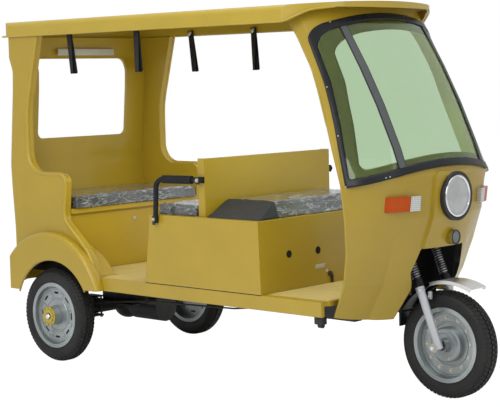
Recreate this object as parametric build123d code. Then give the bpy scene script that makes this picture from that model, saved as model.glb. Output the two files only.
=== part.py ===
from build123d import *
import math
import os

# Three-wheeled passenger rickshaw with an electric drive, built as separate pieces.
# Frame: +X to the front of the vehicle, +Y to its left, +Z up, millimetres. The sub-parts are
# drawn from the rear axle's centre line, and save() moves them so that the origin is on the
# ground under the middle of the overall length.

os.makedirs("parts", exist_ok=True)

# ---- Driving dimensions --------------------------------------------------------------------

WHEELBASE = 2070.0
TYRE_RADIUS = 235.0
TYRE_WIDTH = 90.0
RIM_RADIUS = 152.0
RIM_FLANGE_RADIUS = 165.0
RIM_FLANGE_THICKNESS = 4.0
AXLE_RADIUS = 9.0

BODY_WIDTH = 960.0
FENDER_STANDOUT = 50.0          # the fenders' faces beyond the body's sides
ROOF_STANDOUT = 12.0            # the roof's skirts beyond the body's sides
WHEEL_INSET = 15.0              # the rear wheels' middle planes inside the body's sides
REAR_OVERHANG = 356.0           # rear axle to the outside of the rear wall
FLOOR_Z = 450.0
FLOOR_THICKNESS = 20.0
SILL_HEIGHT = 65.0
SILL_THICKNESS = 20.0
SKIN = 12.0                     # moulded shells: roof, fenders and cowl
WALL = 18.0                     # boxed sheet panels: seat boxes, rear wall and bulkhead
QUARTER_THICKNESS = 40.0

ROOF_EDGE_Z = 1638.0            # lower edge of the roof's skirt
ROOF_SKIRT_HEIGHT = 72.0
ROOF_CROWN = 16.0

RAKE_DEG = 21.35                # steering axis, leaning back from vertical
FORK_LEG_SPACING = 200.0
FORK_LEG_LEAD = 14.0            # the legs stand this far ahead of the axle

CLEARANCE = 0.3                 # between curved or assembled faces of one body
RUNNING_FIT = 0.05              # radial clearance of a shaft that turns in its bore

# ---- Sizes that follow ---------------------------------------------------------------------

HALF_BODY = BODY_WIDTH / 2
HALF_FENDER = HALF_BODY + FENDER_STANDOUT
HALF_ROOF = HALF_BODY + ROOF_STANDOUT
HALF_TRACK = HALF_BODY - WHEEL_INSET
ROOF_REAR_OVERHANG = REAR_OVERHANG + ROOF_STANDOUT
FLOOR_UNDER_Z = FLOOR_Z - FLOOR_THICKNESS
SILL_UNDER_Z = FLOOR_Z - SILL_HEIGHT
ROOF_SIDE_TOP_Z = ROOF_EDGE_Z + ROOF_SKIRT_HEIGHT
OVERALL_FRONT = WHEELBASE + TYRE_RADIUS
MID_X = (OVERALL_FRONT - ROOF_REAR_OVERHANG) / 2
INNER_HALF = HALF_BODY - QUARTER_THICKNESS
RAKE = math.radians(RAKE_DEG)
BEHIND = 3000.0                 # a reach past every edge, for cutting blocks


# ---- Shape helpers -------------------------------------------------------------------------

def block(x_range, y_range, z_range):
    """A box from its lowest and highest value along each axis."""
    size = [high - low for low, high in (x_range, y_range, z_range)]
    middle = [(high + low) / 2 for low, high in (x_range, y_range, z_range)]
    return Pos(*middle) * Box(*size)


def side_plate(points, y_low, y_high, radii=0.0):
    """Extrude a side outline of (x, z) points, with rounded corners, from y_low to y_high."""
    outline = FilletPolyline(*[(x, 0, z) for x, z in points], radius=radii, close=True)
    return Pos(0, y_low, 0) * extrude(make_face(outline), amount=y_high - y_low, dir=(0, 1, 0))


def front_plate(points, x_low, x_high, radii=0.0):
    """Extrude a front outline of (y, z) points, with rounded corners, from x_low to x_high."""
    outline = FilletPolyline(*[(0, y, z) for y, z in points], radius=radii, close=True)
    return Pos(x_low, 0, 0) * extrude(make_face(outline), amount=x_high - x_low, dir=(1, 0, 0))


def cross_cylinder(x, z, radius, y_low, y_high):
    """A cylinder whose axis runs across the vehicle."""
    turned = Rot(90, 0, 0) * Cylinder(radius, y_high - y_low)
    return Pos(x, (y_low + y_high) / 2, z) * turned


def rod_between(start, end, radius):
    """A round bar between two points."""
    line = Line(start, end)
    return extrude(Plane(start, z_dir=line % 0) * Circle(radius), amount=line.length)


def bent_tube(points, radius, bend_radius):
    """A round bar along straight runs joined by tangent arcs."""
    path = FilletPolyline(*points, radius=bend_radius)
    return sweep(Plane(path @ 0, z_dir=path % 0) * Circle(radius), path=path)


def both_sides(right_solid):
    """A piece and its mirror image across the middle plane."""
    return Compound(children=[*solids_of(right_solid), *solids_of(mirror(right_solid, Plane.XZ))])


def solids_of(shape):
    """The solids of a shape, as copies that a compound can own."""
    return [Solid(solid.wrapped) for solid in shape.solids()]


def save(node, shape):
    """Write one node's solids, moved to the vehicle's origin."""
    solids = [Pos(-MID_X, 0, 0) * solid for solid in shape.solids()]
    export_step(solids[0] if len(solids) == 1 else Compound(children=solids), f"parts/{node}.step")


# ---- Front skin: cowl, windscreen surround, glass and gasket share one surface ---------------

def from_front_axle(line):
    """Side points (x, z) whose x is given ahead of the front axle."""
    return [(WHEELBASE + x, z) for x, z in line]


def skin_sections(rows):
    """Plan sections from rows whose x is ahead of the front axle and y inside the body's side."""
    return [(z, WHEELBASE + rear, WHEELBASE + bend, HALF_BODY - side, WHEELBASE + shoulder,
             HALF_BODY - shoulder_in, WHEELBASE + nose, bulge)
            for z, rear, bend, side, shoulder, shoulder_in, nose, bulge in rows]


# Half plan sections of the skin, from the bottom up. Each runs from its rear edge straight to
# the bend, round an arc to the shoulder, and over the nose by one arc to the other side.
#  z, rear_x, bend_x, side_y, shoulder_x, shoulder_y, nose_x, bulge
COWL_SECTIONS = skin_sections([
    (330.0, -330.0, -324.0, 71.0, -244.0, 200.0, -124.0, 7.0),
    (520.0, -240.0, -234.0, 53.0, -140.0, 200.0, -44.0, 12.0),
    (660.0, -202.0, -196.0, 28.0, -90.0, 192.0, -14.0, 15.0),
    (800.0, -184.0, -178.0, 0.0, -34.0, 188.0, 24.0, 13.0),
    (930.0, -202.0, -168.0, 3.0, -13.0, 192.0, 28.0, 15.0),
    (975.0, -218.0, -175.0, 9.0, -15.0, 192.0, 31.0, 30.0),
    (1030.0, -238.0, -190.0, 15.0, -35.0, 192.0, 11.0, 25.0),
])
SCREEN_SECTIONS = skin_sections([
    (900.0, -370.0, -152.0, 2.0, 12.0, 192.0, 58.0, 38.0),
    (1100.0, -370.0, -212.0, 22.0, -60.0, 192.0, -14.0, 18.0),
    (1280.0, -470.0, -270.0, 43.0, -142.0, 192.0, -96.0, 12.0),
    (1440.0, -570.0, -337.0, 53.0, -228.0, 192.0, -182.0, 8.0),
    (1600.0, -670.0, -420.0, 59.0, -327.0, 192.0, -281.0, 12.0),
    (1760.0, -770.0, -509.0, 65.0, -437.0, 192.0, -391.0, 12.0),
])


def plan_section(section, inset, open_rear):
    """One closed plan outline of the skin, moved in by inset; open_rear runs it past the rear."""
    z, rear_x, bend_x, side_y, shoulder_x, shoulder_y, nose_x, bulge = section
    rear = rear_x - (BEHIND / 20 if open_rear else 0.0)
    bend = Vector(bend_x, side_y - inset, z)
    chord = Vector(shoulder_x - bend_x, shoulder_y - side_y, 0).normalized()
    outward = Vector(-chord.Y, chord.X, 0)
    nose = Vector(nose_x - inset, 0, z)
    lean = Vector(shoulder_y, nose_x - shoulder_x, 0).normalized()
    shoulder = Vector(shoulder_x, shoulder_y, z) - (outward + lean).normalized() * inset
    middle = (bend + shoulder) * 0.5 + outward * bulge
    half = [Line((rear, side_y - inset, z), bend), ThreePointArc(bend, middle, shoulder)]

    def over(point):
        return Vector(point.X, -point.Y, point.Z)

    other_half = [
        ThreePointArc(over(shoulder), over(middle), over(bend)),
        Line(over(bend), (rear, inset - side_y, z)),
    ]
    closing = Line((rear, inset - side_y, z), (rear, side_y - inset, z))
    wire = Wire([*half, ThreePointArc(shoulder, nose, over(shoulder)), *other_half, closing])
    return Face(wire)


def skin_solid(sections, inset, open_rear=False):
    """The volume inside the skin at one inset."""
    faces = [plan_section(section, inset, open_rear) for section in sections]
    return loft(faces, ruled=True)


def skin_shell(sections, outer_inset, inner_inset):
    """A shell of the skin between two insets, open to the rear, top and bottom."""
    return skin_solid(sections, outer_inset) - skin_solid(sections, inner_inset, open_rear=True)


SCREEN_BOTTOM_SIDE_Z = 930.0
SCREEN_BOTTOM_RISE = 83.0
SCREEN_TOP_SIDE_Z = 1578.0
SCREEN_TOP_RISE = 99.0
GASKET_WIDTH = 20.0             # along the windscreen's sides
GASKET_TOP_WIDTH = 31.0
GASKET_FOOT_WIDTH = 30.0
GASKET_PROUD = 9.0
GLASS_THICKNESS = 5.0
STRIP_THICKNESS = 5.0
STRIP_WIDTH = 36.0
STRIP_Y = HALF_BODY - 193.0
SURROUND_FLANGE = 53.0          # the band of the surround inside the gasket's outer line
SURROUND_TOP_FLANGE = 76.0
SCREEN_CORNER = 42.0
SCREEN_FOOT_CORNER = 14.0
PILLAR_BEND = 400.0
# Side lines from the bottom up, as (x, z): the gasket's rear edge and the pillar's rear edge.
GASKET_LINE = from_front_axle([
    (140.0, -100.0), (-250.0, 1199.0), (-314.0, 1377.0), (-395.0, 1539.0), (-880.0, 2390.0)])
PILLAR_LINE = from_front_axle([
    (178.0, -100.0), (-378.0, 1407.0), (-427.0, 1504.0), (-476.0, 1577.0), (-1276.0, 2520.0)])


def arch_prism(side_z, rise, x_low, x_high, z_far):
    """A block across the front whose edge is an arch, filled towards z_far."""
    half = HALF_BODY + QUARTER_THICKNESS
    edge = ThreePointArc((0, -half, side_z), (0, 0, side_z + rise), (0, half, side_z))
    others = Polyline((0, half, side_z), (0, half, z_far), (0, -half, z_far), (0, -half, side_z))
    face = make_face([edge, *others.edges()])
    return Pos(x_low, 0, 0) * extrude(face, amount=x_high - x_low, dir=(1, 0, 0))


def ahead_of(line, margin):
    """Everything ahead of a side line, moved forwards by a margin."""
    shifted = [(x + margin / math.cos(RAKE), z) for x, z in line]
    outline = [*shifted, (BEHIND * 2, line[-1][1]), (BEHIND * 2, line[0][1])]
    radii = [0, *[PILLAR_BEND] * (len(line) - 2), 0, 0, 0]
    half = HALF_BODY + QUARTER_THICKNESS / 2
    return side_plate(outline, -half, half, radii)


def screen_zone(side=0.0, top=0.0, foot=0.0, foot_corner=SCREEN_FOOT_CORNER):
    """The volume inside the gasket's outer line, shrunk at its sides, top and foot."""
    zone = ahead_of(GASKET_LINE, side)
    far = (-BEHIND, BEHIND * 2)
    zone -= arch_prism(SCREEN_BOTTOM_SIDE_Z + foot, SCREEN_BOTTOM_RISE, *far, -BEHIND)
    zone -= arch_prism(SCREEN_TOP_SIDE_Z - top, SCREEN_TOP_RISE, *far, BEHIND)
    for place, radius in ((-1, SCREEN_CORNER), (0, foot_corner)):
        rear_edges = zone.edges().filter_by(
            lambda edge: abs(edge.center().Y) < 1 and edge.center().X < WHEELBASE)
        zone = fillet([rear_edges.sort_by(Axis.Z)[place]], radius)
    return zone


def front_skin():
    """Cowl, windscreen surround, gasket, glass and strips."""
    under_screen = arch_prism(SCREEN_BOTTOM_SIDE_Z, SCREEN_BOTTOM_RISE, -BEHIND, BEHIND, -BEHIND)
    band = skin_shell(SCREEN_SECTIONS, 0, SKIN) & ahead_of(PILLAR_LINE, 0)
    band -= under_screen
    band -= screen_zone(SURROUND_FLANGE, SURROUND_TOP_FLANGE, SURROUND_FLANGE, SCREEN_CORNER)
    header = band & roof_volume(SKIN + CLEARANCE)
    surround = band - block((-BEHIND, BEHIND), (-BEHIND, BEHIND), (ROOF_EDGE_Z, BEHIND)) + header
    gasket = skin_shell(SCREEN_SECTIONS, -GASKET_PROUD, -CLEARANCE)
    gasket &= screen_zone() - screen_zone(GASKET_WIDTH, GASKET_TOP_WIDTH, GASKET_FOOT_WIDTH)
    pane_zone = screen_zone(GASKET_WIDTH + CLEARANCE, GASKET_TOP_WIDTH + CLEARANCE,
                            GASKET_FOOT_WIDTH + CLEARANCE)
    glass_outer = -GLASS_THICKNESS - CLEARANCE
    glass = skin_shell(SCREEN_SECTIONS, glass_outer, -CLEARANCE)
    glass &= pane_zone
    strips = skin_shell(SCREEN_SECTIONS, glass_outer - STRIP_THICKNESS, glass_outer - CLEARANCE)
    strips &= pane_zone
    slice_left = block((-BEHIND, BEHIND), (STRIP_Y - STRIP_WIDTH / 2, STRIP_Y + STRIP_WIDTH / 2),
                       (-BEHIND, BEHIND))
    strips &= slice_left + mirror(slice_left, Plane.XZ)
    save("windscreen_surround", surround)
    save("windscreen_gasket", gasket)
    save("windscreen_glass", glass)
    save("windscreen_strips", strips)

    cowl = skin_shell(COWL_SECTIONS, 0, SKIN) & under_screen
    cowl += skin_shell(COWL_SECTIONS, SKIN / 2, CUTOUT_RETURN) & wheel_cutout(SKIN)
    cowl -= wheel_cutout(0)
    foot = [*COWL_FOOT_LINE, (BEHIND, BEHIND), (COWL_FOOT_LINE[0][0], BEHIND)]
    cowl &= side_plate(foot, -HALF_BODY, HALF_BODY, [0, 200, 200, 0, 0, 0])
    save("front_cowl", cowl + nose_panel())


# Half outline of the wheel's opening in the cowl, from the top down: y, z and corner radius.
CUTOUT = [(152.0, 664.0, 12.0), (181.0, 560.0, 30.0), (156.0, 488.0, 40.0), (192.0, 330.0, 0.0)]
CUTOUT_RETURN = 34.0            # depth of the edge that turns back round the opening
COWL_FOOT_LINE = [*from_front_axle([(-470.0, 430.0), (-283.0, 371.0), (-210.0, 354.0)]),
                  (BEHIND, 354.0)]
# Half outline of the raised panel that carries the headlamp, from the bottom up.
NOSE_PANEL = [(152.0, 664.0, 0.0), (141.0, 780.0, 80.0), (121.0, 992.0, 34.0)]
NOSE_PANEL_PROUD = 14.0


def mirrored_plate(half_outline, grow):
    """A plate across the front from half an outline of (y, z, radius) rows, grown by a margin."""
    rows = [(y + grow, z + grow, radius) for y, z, radius in half_outline]
    points = [(y, z) for y, z, _ in rows] + [(-y, z) for y, z, _ in reversed(rows)]
    radii = [radius for *_, radius in rows] + [radius for *_, radius in reversed(rows)]
    return front_plate(points, WHEELBASE / 2, BEHIND, radii)


def wheel_cutout(grow):
    """The opening of the cowl that the fork and the front wheel's guard stand in."""
    return mirrored_plate(CUTOUT, grow)


def nose_panel():
    """The raised panel between the cut-out and the windscreen, which carries the headlamp."""
    return skin_shell(COWL_SECTIONS, -NOSE_PANEL_PROUD, SKIN / 2) & mirrored_plate(NOSE_PANEL, 0)


# ---- Roof ------------------------------------------------------------------------------------

VISOR_START_X = WHEELBASE - 502.0  # where the roof's plan starts to narrow
VISOR_NOSE_X = WHEELBASE - 270.0
VISOR_SHOULDER = (WHEELBASE - 314.0, HALF_BODY - 180.0)
VISOR_CORNER = (WHEELBASE - 386.0, HALF_BODY - 72.0)
# The skirt's lower edge as it sweeps up into the visor: x, z and the corner's radius.
VISOR_SWEEP = [(WHEELBASE - 488.0, ROOF_EDGE_Z, 90.0),
               (WHEELBASE - 398.0, ROOF_EDGE_Z + 48.0, 110.0),
               (WHEELBASE - 330.0, ROOF_EDGE_Z + 59.0, 0.0)]
ROOF_CORNER_RADIUS = 70.0
ROOF_EDGE_RADIUS = 26.0
RAIL_WIDTH = 22.0


def roof_volume(inset, edge_radius=0.0):
    """The roof's volume, moved in by inset at its sides, ends and top."""
    half = HALF_ROOF - inset
    rear = -ROOF_REAR_OVERHANG + inset
    nose_x = VISOR_NOSE_X - inset
    shoulder_x, shoulder_y = VISOR_SHOULDER[0] - inset, VISOR_SHOULDER[1]
    corner_x, corner_y = VISOR_CORNER[0] - inset * 0.7, VISOR_CORNER[1] - inset * 0.7
    corner = ROOF_CORNER_RADIUS - inset
    plan = [
        Line((VISOR_START_X, half), (rear + corner, half)),
        ThreePointArc((rear + corner, half), (rear + corner * 0.293, half - corner * 0.293),
                      (rear, half - corner)),
        Line((rear, half - corner), (rear, corner - half)),
        ThreePointArc((rear, corner - half), (rear + corner * 0.293, corner * 0.293 - half),
                      (rear + corner, -half)),
        Line((rear + corner, -half), (VISOR_START_X, -half)),
        ThreePointArc((VISOR_START_X, -half), (corner_x, -corner_y), (shoulder_x, -shoulder_y)),
        ThreePointArc((shoulder_x, -shoulder_y), (nose_x, 0), (shoulder_x, shoulder_y)),
        ThreePointArc((shoulder_x, shoulder_y), (corner_x, corner_y), (VISOR_START_X, half)),
    ]
    low = ROOF_EDGE_Z - SKIN
    high = ROOF_SIDE_TOP_Z + ROOF_CROWN + SKIN
    prism = Pos(0, 0, low) * extrude(make_face(plan), amount=high - low)
    side_top = ROOF_SIDE_TOP_Z - inset
    crown = make_face([
        Polyline((0, -half, side_top), (0, -half, low), (0, half, low), (0, half, side_top)),
        ThreePointArc((0, half, side_top), (0, 0, side_top + ROOF_CROWN), (0, -half, side_top)),
    ])
    hump = Pos(-BEHIND / 2, 0, 0) * extrude(crown, amount=BEHIND * 1.5, dir=(1, 0, 0))
    if edge_radius:
        hump = fillet(hump.edges().filter_by(Axis.X).filter_by(
            lambda edge: abs(edge.center().Z - side_top) < 1), edge_radius)
    return prism & hump


def visor_sweep():
    """What lies under the roof's lower edge, which sweeps up at the front into the visor."""
    last_z = VISOR_SWEEP[-1][1]
    points = [(-BEHIND, ROOF_EDGE_Z), *[(x, z) for x, z, _ in VISOR_SWEEP], (BEHIND, last_z),
              (BEHIND, -BEHIND), (-BEHIND, -BEHIND)]
    radii = [0, *[radius for _, _, radius in VISOR_SWEEP], 0, 0, 0]
    return side_plate(points, -BEHIND / 2, BEHIND / 2, radii)


def roof():
    """The roof shell with its visor and the rails inside its skirts."""
    shell = roof_volume(0, ROOF_EDGE_RADIUS) - visor_sweep()
    shell -= roof_volume(SKIN)
    rail_outer = HALF_BODY - SILL_THICKNESS / 2
    rail = block((-REAR_OVERHANG + WALL, VISOR_START_X - 2 * RAIL_WIDTH),
                 (-rail_outer, -rail_outer + RAIL_WIDTH), (ROOF_EDGE_Z, BEHIND))
    rails = (rail + mirror(rail, Plane.XZ)) & roof_volume(SKIN / 2)
    save("roof_shell", shell + rails)


# ---- Cabin panels ----------------------------------------------------------------------------

ARCH_RADIUS = 375.0             # outside of the inner wheel arch
ARCH_SHEET = 10.0
ARCH_INNER_Y = HALF_TRACK - 105.0
WHEEL_WELL_RADIUS = 330.0
REAR_TUCK = 22.0
REAR_CORNER_RADIUS = 34.0
# The body's rear edge between its foot and the roof, from the bottom up.
#  ahead of the rearmost point, z, radius
REAR_LINE = [
    (20.0, 660.0, 300.0),
    (4.0, 880.0, 300.0),
    (0.0, 990.0, 300.0),
    (20.0, 1200.0, 300.0),
    (36.0, 1370.0, 300.0),
    (40.0, 1462.0, 60.0),
    (14.0, 1530.0, 60.0),
]

SHELF_Z = 945.0
SHELF_FRONT_X = 103.0
OPENING_TOP_X = -92.0
OPENING_REAR_X = -190.0
OPENING_BEND_Z = 1270.0
QUARTER_KNEE = (78.0, 722.0)
QUARTER_LOBE = (262.0, 560.0)
QUARTER_FOOT_X = 344.0


def rear_edge(offset):
    """Points of the body's rear edge from the bottom up, moved forwards by offset."""
    back = -REAR_OVERHANG + offset
    line = [(back + REAR_TUCK, SILL_UNDER_Z), *[(back + ahead, z) for ahead, z, _ in REAR_LINE]]
    return [*line, (line[-1][0], ROOF_EDGE_Z)]


def rear_edge_radii():
    """The corner radius of every point that rear_edge returns."""
    return [0, *[radius for _, _, radius in REAR_LINE], 0]


def rear_quarters():
    """The thick side panels behind the passengers' doorways."""
    outline = [
        *rear_edge(0.0), (OPENING_TOP_X, ROOF_EDGE_Z), (OPENING_REAR_X, OPENING_BEND_Z),
        (OPENING_REAR_X, SHELF_Z), (SHELF_FRONT_X, SHELF_Z), QUARTER_KNEE, QUARTER_LOBE,
        (QUARTER_FOOT_X, SILL_UNDER_Z),
    ]
    radii = [*rear_edge_radii(), 0, 400, 110, 40, 70, 160, 0]
    panel = side_plate(outline, -HALF_BODY, -INNER_HALF, radii)
    corner = panel.edges().filter_by(
        lambda edge: abs(edge.center().Y + HALF_BODY) < 1
        and edge.center().X < REAR_LINE[-3][0] + CLEARANCE - REAR_OVERHANG
        and SILL_UNDER_Z < edge.center().Z < ROOF_EDGE_Z)
    panel = fillet(corner, REAR_CORNER_RADIUS)
    panel -= cross_cylinder(0, TYRE_RADIUS, WHEEL_WELL_RADIUS, -BEHIND, BEHIND)
    save("rear_quarter_right", panel)
    save("rear_quarter_left", mirror(panel, Plane.XZ))


REAR_WINDOW_HALF = HALF_BODY - 174.0
REAR_WINDOW_Z = (1110.0, 1526.0)
REAR_WINDOW_RADIUS = 34.0


def rear_wall():
    """The wall between the quarter panels, with the rear window cut through it."""
    outline = [*rear_edge(0.0), *reversed(rear_edge(WALL))]
    radii = rear_edge_radii()
    wall = side_plate(outline, -INNER_HALF, INNER_HALF, [*radii, *reversed(radii)])
    low, high = REAR_WINDOW_Z
    half = REAR_WINDOW_HALF
    wall -= front_plate([(-half, low), (half, low), (half, high), (-half, high)],
                        -BEHIND, 0, REAR_WINDOW_RADIUS)
    save("rear_wall", wall)


FENDER_CENTRE = (-20.0, 250.0)
FENDER_RADIUS = 406.0
FENDER_OPENING_X = 24.0
FENDER_OPENING_RADIUS = 284.0
FENDER_REAR_X = 32.0 - REAR_OVERHANG
FENDER_BOTTOM_Z = 352.0
FENDER_FRONT_BOTTOM_Z = 386.0
FENDER_EDGE_RADIUS = 24.0


def fender_outline(inset, y_low, y_high):
    """The fender's outside volume, moved in by inset."""
    x, z = FENDER_CENTRE
    disc = cross_cylinder(x, z, FENDER_RADIUS - inset, y_low, y_high)
    return disc & block((FENDER_REAR_X + inset, BEHIND), (-BEHIND, BEHIND),
                        (FENDER_BOTTOM_Z, BEHIND))


def rear_fenders():
    """The flared shells over the rear wheels."""
    outside = fender_outline(0, -HALF_FENDER, -HALF_BODY)
    rim = outside.edges().filter_by(lambda edge: abs(edge.center().Y + HALF_FENDER) < 1)
    outside = fillet([edge for edge in rim if edge.center().Z > FENDER_BOTTOM_Z + 1],
                     FENDER_EDGE_RADIUS)
    shell = outside - fender_outline(SKIN, -HALF_FENDER + SKIN, BEHIND)
    shell -= cross_cylinder(FENDER_OPENING_X, TYRE_RADIUS, FENDER_OPENING_RADIUS,
                            -BEHIND, BEHIND)
    shell -= block((0, BEHIND), (-BEHIND, BEHIND), (-BEHIND, FENDER_FRONT_BOTTOM_Z))
    save("rear_fender_right", shell)
    save("rear_fender_left", mirror(shell, Plane.XZ))


POST_WIDTH = 60.0
POST_DEPTH = 46.0
FLOOR_FRONT_X = WHEELBASE - 305.0
SILL_FRONT_X = WHEELBASE - 318.0


def floor():
    """The floor plate with its side sills."""
    inner_rear = -REAR_OVERHANG + REAR_TUCK + WALL
    plate = block((inner_rear, FLOOR_FRONT_X), (-INNER_HALF, INNER_HALF), (FLOOR_UNDER_Z, FLOOR_Z))
    edge = block((QUARTER_FOOT_X + CLEARANCE, SILL_FRONT_X), (-HALF_BODY, -INNER_HALF),
                 (FLOOR_UNDER_Z, FLOOR_Z))
    sill = block((QUARTER_FOOT_X + CLEARANCE, SILL_FRONT_X),
                 (-HALF_BODY, -HALF_BODY + SILL_THICKNESS), (SILL_UNDER_Z, FLOOR_UNDER_Z))
    side = edge + sill
    plate += side + mirror(side, Plane.XZ)
    for y_low in (-BEHIND, ARCH_INNER_Y - CLEARANCE):
        plate -= cross_cylinder(0, TYRE_RADIUS, ARCH_RADIUS + CLEARANCE,
                                y_low, y_low + BEHIND - ARCH_INNER_Y + CLEARANCE)
    plate -= block((FLOOR_FRONT_X - POST_DEPTH - CLEARANCE, BEHIND),
                   (-POST_WIDTH / 2 - CLEARANCE, POST_WIDTH / 2 + CLEARANCE), (0, BEHIND))
    save("floor_pan", plate)


def wheel_arches():
    """The round boxes inside the cabin that cover the rear wheels."""
    drum = cross_cylinder(0, TYRE_RADIUS, ARCH_RADIUS, -INNER_HALF + CLEARANCE, -ARCH_INNER_Y)
    drum -= cross_cylinder(0, TYRE_RADIUS, ARCH_RADIUS - ARCH_SHEET,
                           -BEHIND, -ARCH_INNER_Y - ARCH_SHEET)
    drum &= block((-REAR_OVERHANG + REAR_TUCK + WALL + CLEARANCE, BEHIND), (-BEHIND, 0),
                  (FLOOR_UNDER_Z, BEHIND))
    save("wheel_arches", both_sides(drum))


# ---- Seats -----------------------------------------------------------------------------------

BENCH_FRONT_X = 92.0
BENCH_TOP_Z = 770.0
BENCH_LIP = 26.0
BOX_BOTTOM_X = (662.0, 1405.0)
BOX_TOP_X = (702.0, 1395.0)
BOX_TOP_Z = 776.0
BOARD_X = 1015.0
BOARD_THICKNESS = 18.0
BOARD_FLANGE = 42.0
BOARD_TOP_Z = 1042.0
BOARD_HALF = HALF_BODY - 40.0
CUSHION_GAP = 12.0


def seat_boxes():
    """The rear bench's panels and the seat box in the middle, with the batteries inside it."""
    wall_front = -REAR_OVERHANG + REAR_TUCK + WALL + CLEARANCE
    half = INNER_HALF - CLEARANCE
    board_x = BENCH_FRONT_X - WALL
    bench = block((wall_front, BENCH_FRONT_X), (-half, half), (BENCH_TOP_Z - WALL, BENCH_TOP_Z))
    bench += block((board_x, BENCH_FRONT_X), (-half, half), (BENCH_TOP_Z - BENCH_LIP, BENCH_TOP_Z))
    bench += block((board_x - WALL, board_x), (-half, half), (FLOOR_Z, BENCH_TOP_Z))
    for y_low in (-BEHIND, ARCH_INNER_Y - CLEARANCE):
        bench -= cross_cylinder(0, TYRE_RADIUS, ARCH_RADIUS + CLEARANCE,
                                y_low, y_low + BEHIND - ARCH_INNER_Y + CLEARANCE)
    save("rear_bench_box", bench)

    outline = [(BOX_BOTTOM_X[0], FLOOR_Z), (BOX_TOP_X[0], BOX_TOP_Z),
               (BOX_TOP_X[1], BOX_TOP_Z), (BOX_BOTTOM_X[1], FLOOR_Z)]
    inside = [(BOX_BOTTOM_X[0] + WALL, FLOOR_Z - 1), (BOX_TOP_X[0] + WALL, BOX_TOP_Z - WALL),
              (BOX_TOP_X[1] - WALL, BOX_TOP_Z - WALL), (BOX_BOTTOM_X[1] - WALL, FLOOR_Z - 1)]
    box = side_plate(outline, -HALF_BODY, HALF_BODY)
    box -= side_plate(inside, -HALF_BODY + WALL, HALF_BODY - WALL)
    save("seat_box", box)

    battery = block((BOX_TOP_X[0] + 2 * WALL, BOX_TOP_X[1] - 2 * WALL),
                    (-BATTERY_HALF, BATTERY_HALF), (FLOOR_Z, FLOOR_Z + BATTERY_HEIGHT))
    save("battery_pack", battery)

    board = block((BOARD_X, BOARD_X + BOARD_THICKNESS), (-BOARD_HALF, BOARD_HALF),
                  (BOX_TOP_Z, BOARD_TOP_Z))
    for side in (-1, 1):
        y_low, y_high = sorted((side * BOARD_HALF, side * (BOARD_HALF - BOARD_THICKNESS)))
        board += block((BOARD_X - BOARD_FLANGE + BOARD_THICKNESS, BOARD_X), (y_low, y_high),
                       (BOX_TOP_Z, BOARD_TOP_Z))
    save("partition_board", board)


BATTERY_HALF = HALF_BODY - 100.0
BATTERY_HEIGHT = 240.0
BENCH_CUSHION_HEIGHT = 62.0
BENCH_CUSHION_HALF = HALF_BODY - 64.0
DRIVER_CUSHION_HEIGHT = 76.0
DRIVER_CUSHION_HALF = HALF_BODY - 24.0
PASSENGER_CUSHION_HEIGHT = 52.0
PASSENGER_CUSHION_HALF = HALF_BODY - 40.0
CUSHION_RADIUS = 16.0
CUSHION_SIDE_SLOPE = 126.0
CUSHION_FRONT_SLOPE = 34.0


def cushions():
    """Plain closed blocks for the three seat cushions."""
    rear = block((-REAR_OVERHANG + REAR_TUCK + WALL + CUSHION_GAP, BENCH_FRONT_X + CUSHION_GAP),
                 (-BENCH_CUSHION_HALF, BENCH_CUSHION_HALF),
                 (BENCH_TOP_Z, BENCH_TOP_Z + BENCH_CUSHION_HEIGHT))
    save("rear_bench_cushion", fillet(rear.edges().group_by(Axis.Z)[-1], CUSHION_RADIUS))
    facing = block((BOX_TOP_X[0] + 2 * CUSHION_GAP, BOARD_X - BOARD_FLANGE),
                   (-PASSENGER_CUSHION_HALF, PASSENGER_CUSHION_HALF),
                   (BOX_TOP_Z, BOX_TOP_Z + PASSENGER_CUSHION_HEIGHT))
    save("passenger_cushion", fillet(facing.edges().group_by(Axis.Z)[-1], CUSHION_RADIUS))

    low, high = BOX_TOP_Z, BOX_TOP_Z + DRIVER_CUSHION_HEIGHT
    half, top_half = DRIVER_CUSHION_HALF, DRIVER_CUSHION_HALF - CUSHION_SIDE_SLOPE
    rear_x, front_x = BOARD_X + BOARD_THICKNESS + 2 * CUSHION_GAP, BOX_TOP_X[1] - CUSHION_GAP
    driver = front_plate([(-half, low), (half, low), (top_half, high), (-top_half, high)],
                         rear_x, front_x)
    driver &= side_plate([(rear_x, low), (front_x, low), (front_x - CUSHION_FRONT_SLOPE, high),
                          (rear_x, high)], -half, half)
    save("driver_cushion", fillet(driver.edges().group_by(Axis.Z)[-1], CUSHION_RADIUS))


# ---- Handrails and straps ----------------------------------------------------------------------

HANDRAIL_Z = 945.0
HANDRAIL_BEND_X = 768.0
HANDRAIL_FOOT_X = 756.0
HANDRAIL_FOOT_Z = 740.0
HANDRAIL_RADIUS = 12.0
HANDRAIL_FOAM_RADIUS = 19.0
HANDRAIL_BEND = 42.0
HANDRAIL_EAR = 28.0
STRAP_WIDTH = 38.0
STRAP_THICKNESS = 4.0
STRAP_TOP_Z = 1664.0
STRAP_FOOT_Z = 1450.0
#  side, x at the top, x at the foot
STRAPS = [
    (-1, 106.0, 131.0),
    (-1, 598.0, 606.0),
    (1, 76.0, 104.0),
    (1, 541.0, 546.0),
]


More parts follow.
